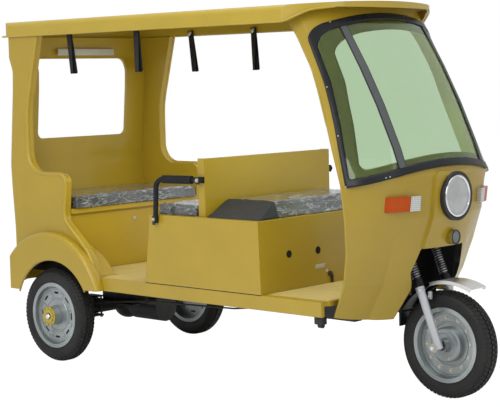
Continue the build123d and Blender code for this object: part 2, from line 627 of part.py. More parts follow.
def handrails():
    """The two bent rails between the seat box and the partition board."""
    foot_y = HALF_BODY + HANDRAIL_RADIUS + CLEARANCE
    front_y = BOARD_HALF + HANDRAIL_RADIUS + CLEARANCE
    front_x = BOARD_X + BOARD_THICKNESS
    front, corner = (front_x, -front_y, HANDRAIL_Z), (HANDRAIL_BEND_X, -foot_y, HANDRAIL_Z)
    rail = bent_tube([front, corner, (HANDRAIL_FOOT_X, -foot_y, HANDRAIL_FOOT_Z)],
                     HANDRAIL_RADIUS, HANDRAIL_BEND)
    run = Line(corner, front)
    foam_end = 1 - (BOARD_THICKNESS + BOARD_FLANGE) / run.length
    rail += rod_between(run @ (HANDRAIL_BEND / run.length), run @ foam_end, HANDRAIL_FOAM_RADIUS)
    rail += block((front_x - HANDRAIL_EAR, front_x), (-front_y, -BOARD_HALF - CLEARANCE),
                  (HANDRAIL_Z - HANDRAIL_EAR / 2, HANDRAIL_Z + HANDRAIL_EAR / 2))
    save("handrails", both_sides(rail))


def grab_straps():
    """The four webbing straps that hang from the roof's rails."""
    rail_inner = HALF_BODY - SILL_THICKNESS / 2 - RAIL_WIDTH
    half = STRAP_WIDTH / 2
    straps = []
    for side, top_x, foot_x in STRAPS:
        y_low, y_high = sorted((side * rail_inner, side * (rail_inner - STRAP_THICKNESS)))
        outline = [(top_x - half, STRAP_TOP_Z), (top_x + half, STRAP_TOP_Z),
                   (foot_x + half, STRAP_FOOT_Z), (foot_x - half, STRAP_FOOT_Z)]
        straps += solids_of(side_plate(outline, y_low, y_high))
    save("grab_straps", Compound(children=straps))


# ---- Lamps and trim --------------------------------------------------------------------------

HEADLAMP_Z = 882.0
HEADLAMP_RADIUS = 106.0
HEADLAMP_LENS_RADIUS = 94.0
HEADLAMP_FRONT_X = WHEELBASE + 54.0
HEADLAMP_LENS_SEAT = 14.0
HEADLAMP_LENS_BULGE = 5.0
ROUNDEL_Z = 704.0
ROUNDEL_FRONT_X = WHEELBASE + 40.0
ROUNDEL_RADIUS = 32.0
INDICATOR_Y = (222.0, HALF_BODY - 120.0)
INDICATOR_SPLIT_Y = 272.0
INDICATOR_Z = (834.0, 897.0)
INDICATOR_PROUD = 22.0


def along_x(x_low, x_high, z, radius):
    """A cylinder whose axis runs forwards, on the middle plane."""
    return Pos((x_low + x_high) / 2, 0, z) * (Rot(0, 90, 0) * Cylinder(radius, x_high - x_low))


def nose_lamps():
    """Headlamp, roundel and indicators, seated on the outside of the cowl."""
    panel_front = skin_solid(COWL_SECTIONS, -NOSE_PANEL_PROUD - CLEARANCE)
    cowl_front = skin_solid(COWL_SECTIONS, -CLEARANCE)
    seat_x = HEADLAMP_FRONT_X - HEADLAMP_LENS_SEAT
    bezel = along_x(WHEELBASE - HEADLAMP_RADIUS, HEADLAMP_FRONT_X, HEADLAMP_Z, HEADLAMP_RADIUS)
    bezel -= panel_front
    bezel -= along_x(seat_x, BEHIND, HEADLAMP_Z, HEADLAMP_LENS_RADIUS + CLEARANCE)
    save("headlamp_bezel", bezel)
    lens = along_x(seat_x + CLEARANCE, HEADLAMP_FRONT_X + HEADLAMP_LENS_BULGE, HEADLAMP_Z,
                   HEADLAMP_LENS_RADIUS)
    save("headlamp_lens", lens - panel_front)
    roundel = along_x(WHEELBASE - ROUNDEL_RADIUS, ROUNDEL_FRONT_X, ROUNDEL_Z, ROUNDEL_RADIUS)
    save("nose_roundel", roundel - panel_front)

    shell = skin_solid(COWL_SECTIONS, -INDICATOR_PROUD) - cowl_front
    spans = {"indicator_lenses_amber": (INDICATOR_SPLIT_Y, INDICATOR_Y[1]),
             "indicator_lenses_clear": (INDICATOR_Y[0], INDICATOR_SPLIT_Y - CLEARANCE)}
    for node, (y_low, y_high) in spans.items():
        lens = shell & block((WHEELBASE / 2, BEHIND), (-y_high, -y_low), INDICATOR_Z)
        save(node, both_sides(lens))


TAIL_LAMP_Y = (INNER_HALF - 80.0, INNER_HALF)
TAIL_LAMP_Z = (596.0, 690.0)
TAIL_LAMP_DEPTH = 26.0
PLATE_HALF = 140.0
PLATE_Z = (540.0, 634.0)
PLATE_THICKNESS = 6.0


def tail_trim():
    """Tail lamps and the blank number plate, on the rear wall."""
    wall_x = -REAR_OVERHANG + REAR_TUCK
    wall = side_plate([*rear_edge(-CLEARANCE), (0, ROOF_EDGE_Z), (0, SILL_UNDER_Z)],
                      -BEHIND / 2, BEHIND / 2)
    lamp = block((wall_x - TAIL_LAMP_DEPTH, 0), (-TAIL_LAMP_Y[1], -TAIL_LAMP_Y[0]), TAIL_LAMP_Z)
    save("tail_lamps", both_sides(lamp - wall))
    plate = block((wall_x - PLATE_THICKNESS, 0), (-PLATE_HALF, PLATE_HALF), PLATE_Z)
    save("number_plate", plate - wall)


# ---- Chassis ----------------------------------------------------------------------------------

RAIL_Y = 250.0
FRAME_RAIL_WIDTH = 50.0
FRAME_RAIL_HEIGHT = 90.0
FRAME_REAR_X = 70.0 - REAR_OVERHANG
CROSS_MEMBER_X = (FRAME_REAR_X + 26.0, 470.0, 1030.0)
CROSS_MEMBER_WIDTH = 40.0
HEAD_LOW = 500.0                # along the steering axis from the axle's level
HEAD_HIGH = 640.0
HEAD_RADIUS = 32.0
STEM_RADIUS = 17.0


def steer_point(distance, lead=0.0):
    """A point up the steering axis from the axle's level, moved forwards by lead."""
    x = WHEELBASE - STEER_TRAIL_OFFSET - math.sin(RAKE) * distance + math.cos(RAKE) * lead
    z = TYRE_RADIUS + math.cos(RAKE) * distance + math.sin(RAKE) * lead
    return x, z


STEER_TRAIL_OFFSET = 18.0       # the axle stands this far ahead of the steering axis


def steer_rod(low, high, radius, y=0.0, lead=0.0):
    """A round bar along the steering axis."""
    (x_low, z_low), (x_high, z_high) = steer_point(low, lead), steer_point(high, lead)
    return rod_between((x_low, y, z_low), (x_high, y, z_high), radius)


def chassis():
    """Ladder frame with the post and the tube that carry the steering."""
    rail_z = (FLOOR_UNDER_Z - FRAME_RAIL_HEIGHT, FLOOR_UNDER_Z)
    frame = None
    for side in (-1, 1):
        y_low = side * RAIL_Y - FRAME_RAIL_WIDTH / 2
        rail = block((FRAME_REAR_X, FLOOR_FRONT_X), (y_low, y_low + FRAME_RAIL_WIDTH), rail_z)
        frame = rail if frame is None else frame + rail
    for x in (*CROSS_MEMBER_X, FLOOR_FRONT_X - POST_DEPTH):
        frame += block((x, x + CROSS_MEMBER_WIDTH), (-RAIL_Y, RAIL_Y),
                       (rail_z[0] + CROSS_MEMBER_WIDTH / 2, rail_z[1]))
    head_x, head_z = steer_point((HEAD_LOW + HEAD_HIGH) / 2)
    post_top = head_z + POST_WIDTH / 2
    frame += block((FLOOR_FRONT_X - POST_DEPTH, FLOOR_FRONT_X), (-POST_WIDTH / 2, POST_WIDTH / 2),
                   (rail_z[0] + CROSS_MEMBER_WIDTH / 2, post_top))
    frame += block((FLOOR_FRONT_X - POST_DEPTH, head_x), (-POST_WIDTH / 2, POST_WIDTH / 2),
                   (post_top - POST_WIDTH, post_top))
    frame += steer_rod(HEAD_LOW, HEAD_HIGH, HEAD_RADIUS)
    frame -= steer_rod(HEAD_LOW - HEAD_RADIUS, HEAD_HIGH + HEAD_RADIUS, STEM_RADIUS + RUNNING_FIT)
    save("chassis_frame", frame)


BULKHEAD_TOP_Z = 700.0
BULKHEAD_HALF = HALF_BODY - 180.0
DASH_Z = 872.0
DASH_REAR_X = WHEELBASE - 165.0


def bulkhead_and_dash():
    """The toe board behind the front wheel and the shelf under the windscreen."""
    inside = skin_solid(COWL_SECTIONS, SKIN + CLEARANCE, open_rear=True)
    toe_x = FLOOR_FRONT_X + CLEARANCE
    save("bulkhead", block((toe_x, toe_x + WALL), (-BULKHEAD_HALF, BULKHEAD_HALF),
                           (SILL_UNDER_Z, BULKHEAD_TOP_Z)))
    dash = block((DASH_REAR_X, BEHIND), (-HALF_BODY, HALF_BODY), (DASH_Z, DASH_Z + WALL))
    save("dash_shelf", dash & inside)


SPRING_REAR_X = FRAME_REAR_X + 16.0
SPRING_FRONT_X = 440.0
SPRING_EYE_Z = 316.0
SPRING_LEAF = 8.0
SPRING_LEAVES = 4
SPRING_WIDTH = 44.0
DIFFERENTIAL_RADIUS = 78.0
AXLE_TUBE_RADIUS = 26.0
AXLE_TUBE_END = 62.0            # gap between the tube's end and the wheel's middle plane
SPINDLE_RADIUS = 16.0
MOTOR_RADIUS = 72.0
MOTOR_LENGTH = 210.0


def rear_axle():
    """Axle beam with the differential, the motor ahead of it, and the leaf springs."""
    tube_end = HALF_TRACK - AXLE_TUBE_END
    beam = cross_cylinder(0, TYRE_RADIUS, AXLE_TUBE_RADIUS, -tube_end, tube_end)
    beam += Pos(0, 0, TYRE_RADIUS) * Sphere(DIFFERENTIAL_RADIUS)
    spindle_end = HALF_TRACK + HUB_OUTER
    beam += cross_cylinder(0, TYRE_RADIUS, SPINDLE_RADIUS, -spindle_end, spindle_end)
    save("rear_axle", beam)
    motor_back = DIFFERENTIAL_RADIUS + CLEARANCE
    motor = Pos(motor_back + MOTOR_LENGTH / 2, 0, TYRE_RADIUS) * (
        Rot(0, 90, 0) * Cylinder(MOTOR_RADIUS, MOTOR_LENGTH))
    save("drive_motor", motor)


def leaf_springs():
    """A stack of leaves on each side, hung under the frame and clamped on the axle."""
    seat_z = TYRE_RADIUS + AXLE_TUBE_RADIUS + CLEARANCE
    y_low, y_high = -RAIL_Y - SPRING_WIDTH / 2, -RAIL_Y + SPRING_WIDTH / 2
    main = make_face([
        ThreePointArc((SPRING_REAR_X, 0, SPRING_EYE_Z), (0, 0, seat_z + SPRING_LEAF * 3),
                      (SPRING_FRONT_X, 0, SPRING_EYE_Z)),
        Line((SPRING_FRONT_X, 0, SPRING_EYE_Z), (SPRING_FRONT_X, 0, SPRING_EYE_Z + SPRING_LEAF)),
        ThreePointArc((SPRING_FRONT_X, 0, SPRING_EYE_Z + SPRING_LEAF),
                      (0, 0, seat_z + SPRING_LEAF * 4),
                      (SPRING_REAR_X, 0, SPRING_EYE_Z + SPRING_LEAF)),
        Line((SPRING_REAR_X, 0, SPRING_EYE_Z + SPRING_LEAF), (SPRING_REAR_X, 0, SPRING_EYE_Z)),
    ])
    spring = Pos(0, y_low, 0) * extrude(main, amount=y_high - y_low, dir=(0, 1, 0))
    for leaf in range(SPRING_LEAVES - 1):
        share = 0.25 * (leaf + 1)
        low = seat_z + leaf * SPRING_LEAF
        spring += block((SPRING_REAR_X * share, SPRING_FRONT_X * share), (y_low, y_high),
                        (low, low + SPRING_LEAF + 1))
    rail_under = FLOOR_UNDER_Z - FRAME_RAIL_HEIGHT
    for x in (SPRING_REAR_X, SPRING_FRONT_X):
        spring += cross_cylinder(x, SPRING_EYE_Z, SPRING_LEAF * 1.8, y_low, y_high)
        spring += block((x - SPRING_LEAF, x + SPRING_LEAF), (y_low, y_high),
                        (SPRING_EYE_Z, rail_under))
    save("leaf_springs", both_sides(spring))


# ---- Wheels -----------------------------------------------------------------------------------

HUB_OUTER = 62.0
HUB_RADIUS = 44.0
DRUM_RADIUS = 74.0
DISC_THICKNESS = 8.0
BEAD_HALF = 36.0
BARREL_THICKNESS = 6.0


def ring(radius_low, radius_high, y_low, y_high):
    """A ring round the Y axis."""
    outer = cross_cylinder(0, 0, radius_high, y_low, y_high)
    return outer - cross_cylinder(0, 0, radius_low, y_low - 1, y_high + 1)


def tyre_solid():
    """The tyre's ring with round shoulders and flat beads, about the Y axis."""
    half = TYRE_WIDTH / 2
    wall_radius = (RIM_FLANGE_RADIUS + TYRE_RADIUS) / 2
    tread_half = half * 0.6
    profile = make_face([
        Polyline((RIM_RADIUS, -BEAD_HALF, 0), (RIM_FLANGE_RADIUS, -BEAD_HALF, 0)),
        ThreePointArc((RIM_FLANGE_RADIUS, -BEAD_HALF, 0), (wall_radius, -half, 0),
                      (TYRE_RADIUS - 14, -tread_half - 8, 0)),
        ThreePointArc((TYRE_RADIUS - 14, -tread_half - 8, 0), (TYRE_RADIUS, 0, 0),
                      (TYRE_RADIUS - 14, tread_half + 8, 0)),
        ThreePointArc((TYRE_RADIUS - 14, tread_half + 8, 0), (wall_radius, half, 0),
                      (RIM_FLANGE_RADIUS, BEAD_HALF, 0)),
        Polyline((RIM_FLANGE_RADIUS, BEAD_HALF, 0), (RIM_RADIUS, BEAD_HALF, 0),
                 (RIM_RADIUS, -BEAD_HALF, 0)),
    ])
    return revolve(profile, Axis.Y)


def rim_solid(disc_y, slots):
    """A pressed steel rim: barrel, two flanges and a disc at disc_y."""
    rim = ring(RIM_RADIUS - BARREL_THICKNESS, RIM_RADIUS, -BEAD_HALF, BEAD_HALF)
    edge = BEAD_HALF + RIM_FLANGE_THICKNESS
    for y_low, y_high in ((-edge, -BEAD_HALF), (BEAD_HALF, edge)):
        rim += ring(RIM_RADIUS - BARREL_THICKNESS, RIM_FLANGE_RADIUS, y_low, y_high)
    disc = ring(HUB_RADIUS - 4, RIM_RADIUS - BARREL_THICKNESS + 1,
                disc_y - DISC_THICKNESS / 2, disc_y + DISC_THICKNESS / 2)
    for turn in range(slots):
        slot = Pos(112, disc_y, 0) * Box(10, DISC_THICKNESS * 3, 34)
        disc -= Rot(0, 360 / slots * turn, 0) * slot
    return rim + disc


def wheels():
    """Front wheel, and the two rear wheels on their spindles."""
    front = Pos(WHEELBASE, 0, TYRE_RADIUS)
    save("front_tyre", front * tyre_solid())
    drum = cross_cylinder(0, 0, DRUM_RADIUS, -30, 30) + cross_cylinder(0, 0, 30, -66, 66)
    rim = rim_solid(0, 0) + drum
    rim -= cross_cylinder(0, 0, AXLE_RADIUS + RUNNING_FIT, -200, 200)
    save("front_rim", front * rim)
    for side, name in ((-1, "right"), (1, "left")):
        place = Pos(0, side * HALF_TRACK, TYRE_RADIUS)
        save(f"rear_tyre_{name}", place * tyre_solid())
        save(f"rear_rim_{name}", place * rear_rim(side))


def rear_rim(side):
    """A rear wheel's rim with its hub, which turns on the axle's spindle."""
    rim = rim_solid(side * 14, 8)
    ends = sorted((-side * (AXLE_TUBE_END - 8), side * HUB_OUTER))
    rim += cross_cylinder(0, 0, HUB_RADIUS, *ends)
    rim -= cross_cylinder(0, 0, SPINDLE_RADIUS + RUNNING_FIT, -200, 200)
    return rim


# ---- Front fork and steering -------------------------------------------------------------------

SLIDER_RADIUS = 18.0
SLIDER_TOP = 262.0
BOOT_TOP = 296.0
BOOT_RADIUS = 22.0
COIL_TOP = 432.0
COIL_RADIUS = 21.0
STANCHION_RADIUS = 13.0
YOKE_THICKNESS = 26.0
LEG_TOP = 470.0
LUG_RADIUS = 19.0
LUG_HALF = 16.0


def leg_rod(low, high, radius, side):
    """A round bar along one fork leg."""
    return steer_rod(low, high, radius, side * FORK_LEG_SPACING / 2,
                     FORK_LEG_LEAD + STEER_TRAIL_OFFSET * math.cos(RAKE))


def fork():
    """Fork legs with their axle lugs, springs, boots, yoke and stem."""
    legs = []
    springs = []
    boots = []
    for side in (-1, 1):
        y = side * FORK_LEG_SPACING / 2
        leg = leg_rod(-LUG_RADIUS, SLIDER_TOP, SLIDER_RADIUS, side)
        leg += leg_rod(SLIDER_TOP - 1, LEG_TOP, STANCHION_RADIUS, side)
        leg += cross_cylinder(WHEELBASE, TYRE_RADIUS, LUG_RADIUS, y - LUG_HALF, y + LUG_HALF)
        leg -= cross_cylinder(WHEELBASE, TYRE_RADIUS, AXLE_RADIUS + CLEARANCE, -BEHIND, BEHIND)
        legs.append(leg)
        boots.append(leg_rod(SLIDER_TOP + CLEARANCE, BOOT_TOP, BOOT_RADIUS, side)
                     - leg_rod(0, LEG_TOP, STANCHION_RADIUS + CLEARANCE, side))
        springs.append(leg_rod(BOOT_TOP + CLEARANCE, COIL_TOP, COIL_RADIUS, side)
                       - leg_rod(0, LEG_TOP, STANCHION_RADIUS + CLEARANCE, side))
    for node, shapes in (("fork_legs", legs), ("fork_boots", boots), ("fork_springs", springs)):
        save(node, Compound(children=[s for shape in shapes for s in solids_of(shape)]))

    lead = FORK_LEG_LEAD + STEER_TRAIL_OFFSET * math.cos(RAKE)
    bridge_x, bridge_z = steer_point(COIL_TOP + CLEARANCE + YOKE_THICKNESS / 2, lead / 2)
    bridge = Pos(bridge_x, 0, bridge_z) * (Rot(0, -RAKE_DEG, 0) * Box(
        lead + 2 * COIL_RADIUS + 8, FORK_LEG_SPACING + 2 * COIL_RADIUS, YOKE_THICKNESS))
    yoke = bridge + steer_rod(COIL_TOP + YOKE_THICKNESS / 2, STEM_TOP, STEM_RADIUS)
    for side in (-1, 1):
        yoke -= leg_rod(0, LEG_TOP + CLEARANCE, STANCHION_RADIUS + CLEARANCE, side)
    save("fork_yoke", yoke)
    half_axle = FORK_LEG_SPACING / 2 + SLIDER_RADIUS + 16
    save("front_axle", cross_cylinder(WHEELBASE, TYRE_RADIUS, AXLE_RADIUS, -half_axle, half_axle))


STEM_TOP = 742.0
BAR_RADIUS = 11.0
BAR_HALF = 282.0
BAR_SWEEP = 60.0
GRIP_RADIUS = 16.0
GRIP_LENGTH = 112.0
CLAMP_RADIUS = 26.0


def handlebar():
    """The bar on top of the stem, and its two grips."""
    x, z = steer_point(STEM_TOP - CLAMP_RADIUS)
    bend = BAR_HALF - GRIP_LENGTH - 20
    points = [(x - BAR_SWEEP, -BAR_HALF, z), (x - BAR_SWEEP, -bend, z), (x, -60, z), (x, 60, z),
              (x - BAR_SWEEP, bend, z), (x - BAR_SWEEP, BAR_HALF, z)]
    bar = bent_tube(points, BAR_RADIUS, 30)
    bar += cross_cylinder(x, z, CLAMP_RADIUS, -30, 30)
    bar -= steer_rod(0, STEM_TOP + CLEARANCE, STEM_RADIUS + CLEARANCE)
    save("handlebar", bar)
    grips = []
    for side in (-1, 1):
        low, high = sorted((side * (BAR_HALF - GRIP_LENGTH), side * (BAR_HALF + 6)))
        grip = cross_cylinder(x - BAR_SWEEP, z, GRIP_RADIUS, low, high)
        grip -= cross_cylinder(x - BAR_SWEEP, z, BAR_RADIUS + CLEARANCE, -BAR_HALF, BAR_HALF)
        grips.append(grip)
    save("handlebar_grips", Compound(children=[s for grip in grips for s in solids_of(grip)]))


GUARD_RADIUS = 298.0
GUARD_CENTRE_LEAD = 27.0
GUARD_CENTRE_DROP = 13.0
GUARD_SHEET = 4.0
GUARD_HALF = 58.0
GUARD_LIP = 16.0
GUARD_STAY_RADIUS = 6.0
GUARD_FRONT_DEG = 65.0
GUARD_REAR_DEG = 152.0
FLAP_LENGTH = 62.0


def front_guard():
    """The mudguard over the front wheel, with its rubber flap and its stays to the fork."""
    x, z = WHEELBASE + GUARD_CENTRE_LEAD, TYRE_RADIUS - GUARD_CENTRE_DROP

    def wedge(radius, width):
        drum = cross_cylinder(x, z, radius, -width, width)
        reach = radius * 3
        front, rear = math.radians(GUARD_FRONT_DEG), math.radians(GUARD_REAR_DEG)
        corners = [(x, z), (x + reach * math.cos(front), z + reach * math.sin(front)),
                   (x, z + reach * 1.4),
                   (x + reach * math.cos(rear), z + reach * math.sin(rear))]
        return drum & side_plate(corners, -width, width)

    inner_half = GUARD_HALF - GUARD_SHEET
    guard = wedge(GUARD_RADIUS, GUARD_HALF)
    guard -= cross_cylinder(x, z, GUARD_RADIUS - GUARD_SHEET, -inner_half, inner_half)
    guard -= cross_cylinder(x, z, GUARD_RADIUS - GUARD_LIP, -BEHIND, BEHIND)
    leg_inner = FORK_LEG_SPACING / 2 - SLIDER_RADIUS
    stay_x, stay_z = steer_point(SLIDER_TOP - GUARD_STAY_RADIUS,
                                 FORK_LEG_LEAD + STEER_TRAIL_OFFSET * math.cos(RAKE))
    stays = cross_cylinder(stay_x, stay_z, GUARD_STAY_RADIUS, -leg_inner - 4, -GUARD_HALF + 1)
    guard += stays + mirror(stays, Plane.XZ)
    for side in (-1, 1):
        guard -= leg_rod(-20, SLIDER_TOP, SLIDER_RADIUS + CLEARANCE, side)
    save("front_mudguard", guard)

    rear = math.radians(GUARD_REAR_DEG)
    top_x = x + (GUARD_RADIUS - GUARD_SHEET) * math.cos(rear)
    top_z = z + (GUARD_RADIUS - GUARD_SHEET) * math.sin(rear)
    flap = block((top_x - 2, top_x + 4), (-inner_half + 2, inner_half - 2),
                 (top_z - FLAP_LENGTH, top_z - CLEARANCE))
    save("front_mud_flap", flap)


front_skin()
roof()
rear_quarters()
rear_wall()
rear_fenders()
floor()
wheel_arches()
seat_boxes()
cushions()
handrails()
grab_straps()
nose_lamps()
tail_trim()
chassis()
bulkhead_and_dash()
rear_axle()
leaf_springs()
wheels()
fork()
handlebar()
front_guard()
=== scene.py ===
"""Dressed model of a gold three-wheeled passenger rickshaw.

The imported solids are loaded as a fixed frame. The classes below give every solid its finish and
add what the solids leave out: seat pads, tread, coil springs, fastenings, beads and trim.
Lengths are millimetres from the middle of the rear axle, on the ground, unless a text says metres.
"""
import logging
import math
from dataclasses import dataclass, replace
from enum import Enum, auto
from typing import Any, Iterable, Iterator, Sequence

import bmesh
import bpy
from mathutils import Matrix, Vector, noise


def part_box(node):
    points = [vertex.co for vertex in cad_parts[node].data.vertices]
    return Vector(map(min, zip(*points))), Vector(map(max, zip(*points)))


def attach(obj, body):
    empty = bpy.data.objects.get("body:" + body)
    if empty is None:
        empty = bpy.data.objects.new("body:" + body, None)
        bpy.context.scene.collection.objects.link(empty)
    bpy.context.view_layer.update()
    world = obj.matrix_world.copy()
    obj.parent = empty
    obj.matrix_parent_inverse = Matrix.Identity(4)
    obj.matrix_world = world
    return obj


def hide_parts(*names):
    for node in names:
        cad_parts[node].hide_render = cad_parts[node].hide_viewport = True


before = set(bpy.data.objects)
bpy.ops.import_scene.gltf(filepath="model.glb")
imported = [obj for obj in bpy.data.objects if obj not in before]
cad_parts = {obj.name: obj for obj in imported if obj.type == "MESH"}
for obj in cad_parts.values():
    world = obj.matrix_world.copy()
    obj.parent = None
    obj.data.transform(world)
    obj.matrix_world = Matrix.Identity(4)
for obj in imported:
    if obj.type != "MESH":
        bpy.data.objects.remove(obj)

LOG = logging.getLogger("rickshaw")
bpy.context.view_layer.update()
METRE = 1000.0
SIDES = (-1, 1)
Point = tuple[float, float, float]
Colour = tuple[float, float, float]
Profile = Sequence[tuple[float, float]]

REAR_AXLE_X = -968.5
WHEELBASE = 2070.0
HALF_TRACK = 465.0
TYRE_RADIUS = 235.0
RAKE = math.radians(21.35)
STEER_OFFSET = 18.0
LEG_SPACING = 200.0
LEG_LEAD = 14.0 + STEER_OFFSET * math.cos(RAKE)
HALF_BODY = 480.0
FLOOR_Z = 450.0

# Near-black painted shade for sheet sides that face into the cowl, the nose and the rear wheels.
INSIDE_PAINTED_SHADE: Colour = (0.012, 0.011, 0.010)
NEAR_BLACK: Colour = (0.016, 0.018, 0.018)
COAT_ROUGHNESS = 0.12
CLOUDS = 5.0
SCUFFS = 18.0
BEVEL_SAMPLES = 6
CREASE_SHARPNESS = 26.0
CREASES = ((1.0, 1.6), (2.3, 0.8))


def at(point: Iterable[float]) -> Vector:
    """Turn a point in millimetres from the rear axle into the frame's metres."""
    x, y, z = point
    return Vector((x + REAR_AXLE_X, y, z)) / METRE


def on_circle(centre: Point, radius: float, turn: float) -> Point:
    """Give a point of an upright circle that faces across the vehicle."""
    x, y, z = centre
    return x + radius * math.cos(turn), y, z + radius * math.sin(turn)


def up_the_leg(distance: float, y: float, lead: float = LEG_LEAD) -> Point:
    """Find a point on the line of a fork leg.

    Args:
        distance: Distance up the steering axis from the axle's level.
        y: Place across the vehicle.
        lead: Distance ahead of the steering axis.

    Returns:
        The point, in millimetres from the rear axle.
    """
    x = WHEELBASE - STEER_OFFSET - math.sin(RAKE) * distance + math.cos(RAKE) * lead
    return x, y, TYRE_RADIUS + math.cos(RAKE) * distance + math.sin(RAKE) * lead


def rounded(corners: Sequence[Point], arc_step: float = 0.2) -> list[tuple[float, float]]:
    """Round the corners of a flat line.

    Args:
        corners: Rows of the two coordinates and the corner's radius.
        arc_step: Angle between the points of an arc, in radians.

    Returns:
        The points of the rounded line.
    """
    points = [corners[0][:2]]
    for before, corner, after in zip(corners, corners[1:], corners[2:]):
        here = Vector(corner[:2])
        back = (Vector(before[:2]) - here).normalized()
        ahead = (Vector(after[:2]) - here).normalized()
        half_angle = back.angle(ahead) / 2
        reach = corner[2] / math.tan(half_angle)
        centre = here + (back + ahead).normalized() * (corner[2] / math.sin(half_angle))
        start, end = here + back * reach - centre, here + ahead * reach - centre
        turn = start.angle_signed(end) * -1
        steps = max(2, round(abs(turn) / arc_step))
        for step in range(steps + 1):
            points.append(tuple(centre + Matrix.Rotation(turn * step / steps, 2) @ start))
    return [*points, corners[-1][:2]]


def rolled(radius: float, foot: float, crest: float, height: float) -> Profile:
    """Give the section of a ring that is rolled into a disc.

    Args:
        radius: The middle of the ring.
        foot: Half width where it leaves the disc.
        crest: Half width of its top.
        height: How far it stands out.

    Returns:
        Its closed section.
    """
    return [(radius - foot, 0), (radius - crest, height), (radius + crest, height),
            (radius + foot, 0), (radius - foot, 0)]


class Pattern(Enum):
    """The small relief that a finish carries."""

    SMOOTH = auto()
    GRAIN = auto()
    BRUSHED = auto()
    WEAVE = auto()
    RIBS = auto()
    MESH = auto()
    FILM = auto()


class Book:
    """Adds and joins the nodes of a material or a world."""

    def __init__(self, owner: bpy.types.Material | bpy.types.World) -> None:
        """Open the nodes of a material or a world."""
        owner.use_nodes = True
        self.tree = owner.node_tree

    def find(self, kind: str) -> Any:
        """Give the node of a kind that was there from the start."""
        return next(node for node in self.tree.nodes if node.type == kind)

    def add(self, kind: str, settings: dict[str, Any] | None = None, **inputs: Any) -> Any:
        """Add a node.

        Args:
            kind: The node's type, without its common beginning.
            settings: Values for the node's own properties.
            **inputs: Values or sockets for its inputs, with spaces as underscores.

        Returns:
            The new node.
        """
        node = self.tree.nodes.new("ShaderNode" + kind)
        for key, value in (settings or {}).items():
            setattr(node, key, value)
        for key, value in inputs.items():
            self.put(node.inputs[key.replace("_", " ")], value)
        return node

    def put(self, socket: Any, value: Any) -> None:
        """Set an input to a value, or join it to another node's socket."""
        if isinstance(value, bpy.types.NodeSocket):
            self.tree.links.new(value, socket)
        else:
            socket.default_value = value

    def source(self, kind: str) -> Any:
        """Give the object's own coordinates or its normal."""
        return self.add("TexCoord").outputs[kind]

    def place(self, stretch: Point = (1.0, 1.0, 1.0)) -> Any:
        """Give the object's own coordinates, stretched along each axis."""
        return self.add("Mapping", Vector=self.source("Object"), Scale=stretch).outputs["Vector"]

    def axes(self, kind: str) -> Any:
        """Give the three parts of the object's own coordinates or of its normal."""
        return self.add("SeparateXYZ", Vector=self.source(kind)).outputs

    def noise(self, scale: float, detail: float = 3.0, stretch: Point = (1.0, 1.0, 1.0),
              twist: float = 0.0) -> Any:
        """Give a cloudy value from 0 to 1."""
        return self.add("TexNoise", Vector=self.place(stretch), Scale=scale, Detail=detail,
                        Distortion=twist).outputs["Fac"]

    def wave(self, repeats: float, axis: str) -> Any:
        """Give waves along an axis, with so many to the metre."""
        return self.add("TexWave", {"bands_direction": axis}, Vector=self.place(),
                        Scale=repeats * math.pi / 10).outputs["Fac"]

    def maths(self, operation: str, first: Any, second: Any = 0.0) -> Any:
        """Combine two values."""
        node = self.add("Math", {"operation": operation})
        self.put(node.inputs[0], first)
        self.put(node.inputs[1], second)
        return node.outputs[0]

    def span(self, value: Any, low: float, high: float, from_low: float = 0.3,
             from_high: float = 0.7) -> Any:
        """Map a value onto a range from low to high."""
        return self.add("MapRange", Value=value, From_Min=from_low, From_Max=from_high,
                        To_Min=low, To_Max=high).outputs["Result"]

    def blend(self, share: Any, first: Any, second: Any) -> Any:
        """Mix two colours by a share."""
        node = self.add("Mix", {"data_type": "RGBA"})
        for index, value in ((0, share), (6, first), (7, second)):
            self.put(node.inputs[index], (*value, 1.0) if isinstance(value, tuple) else value)
        return node.outputs[2]


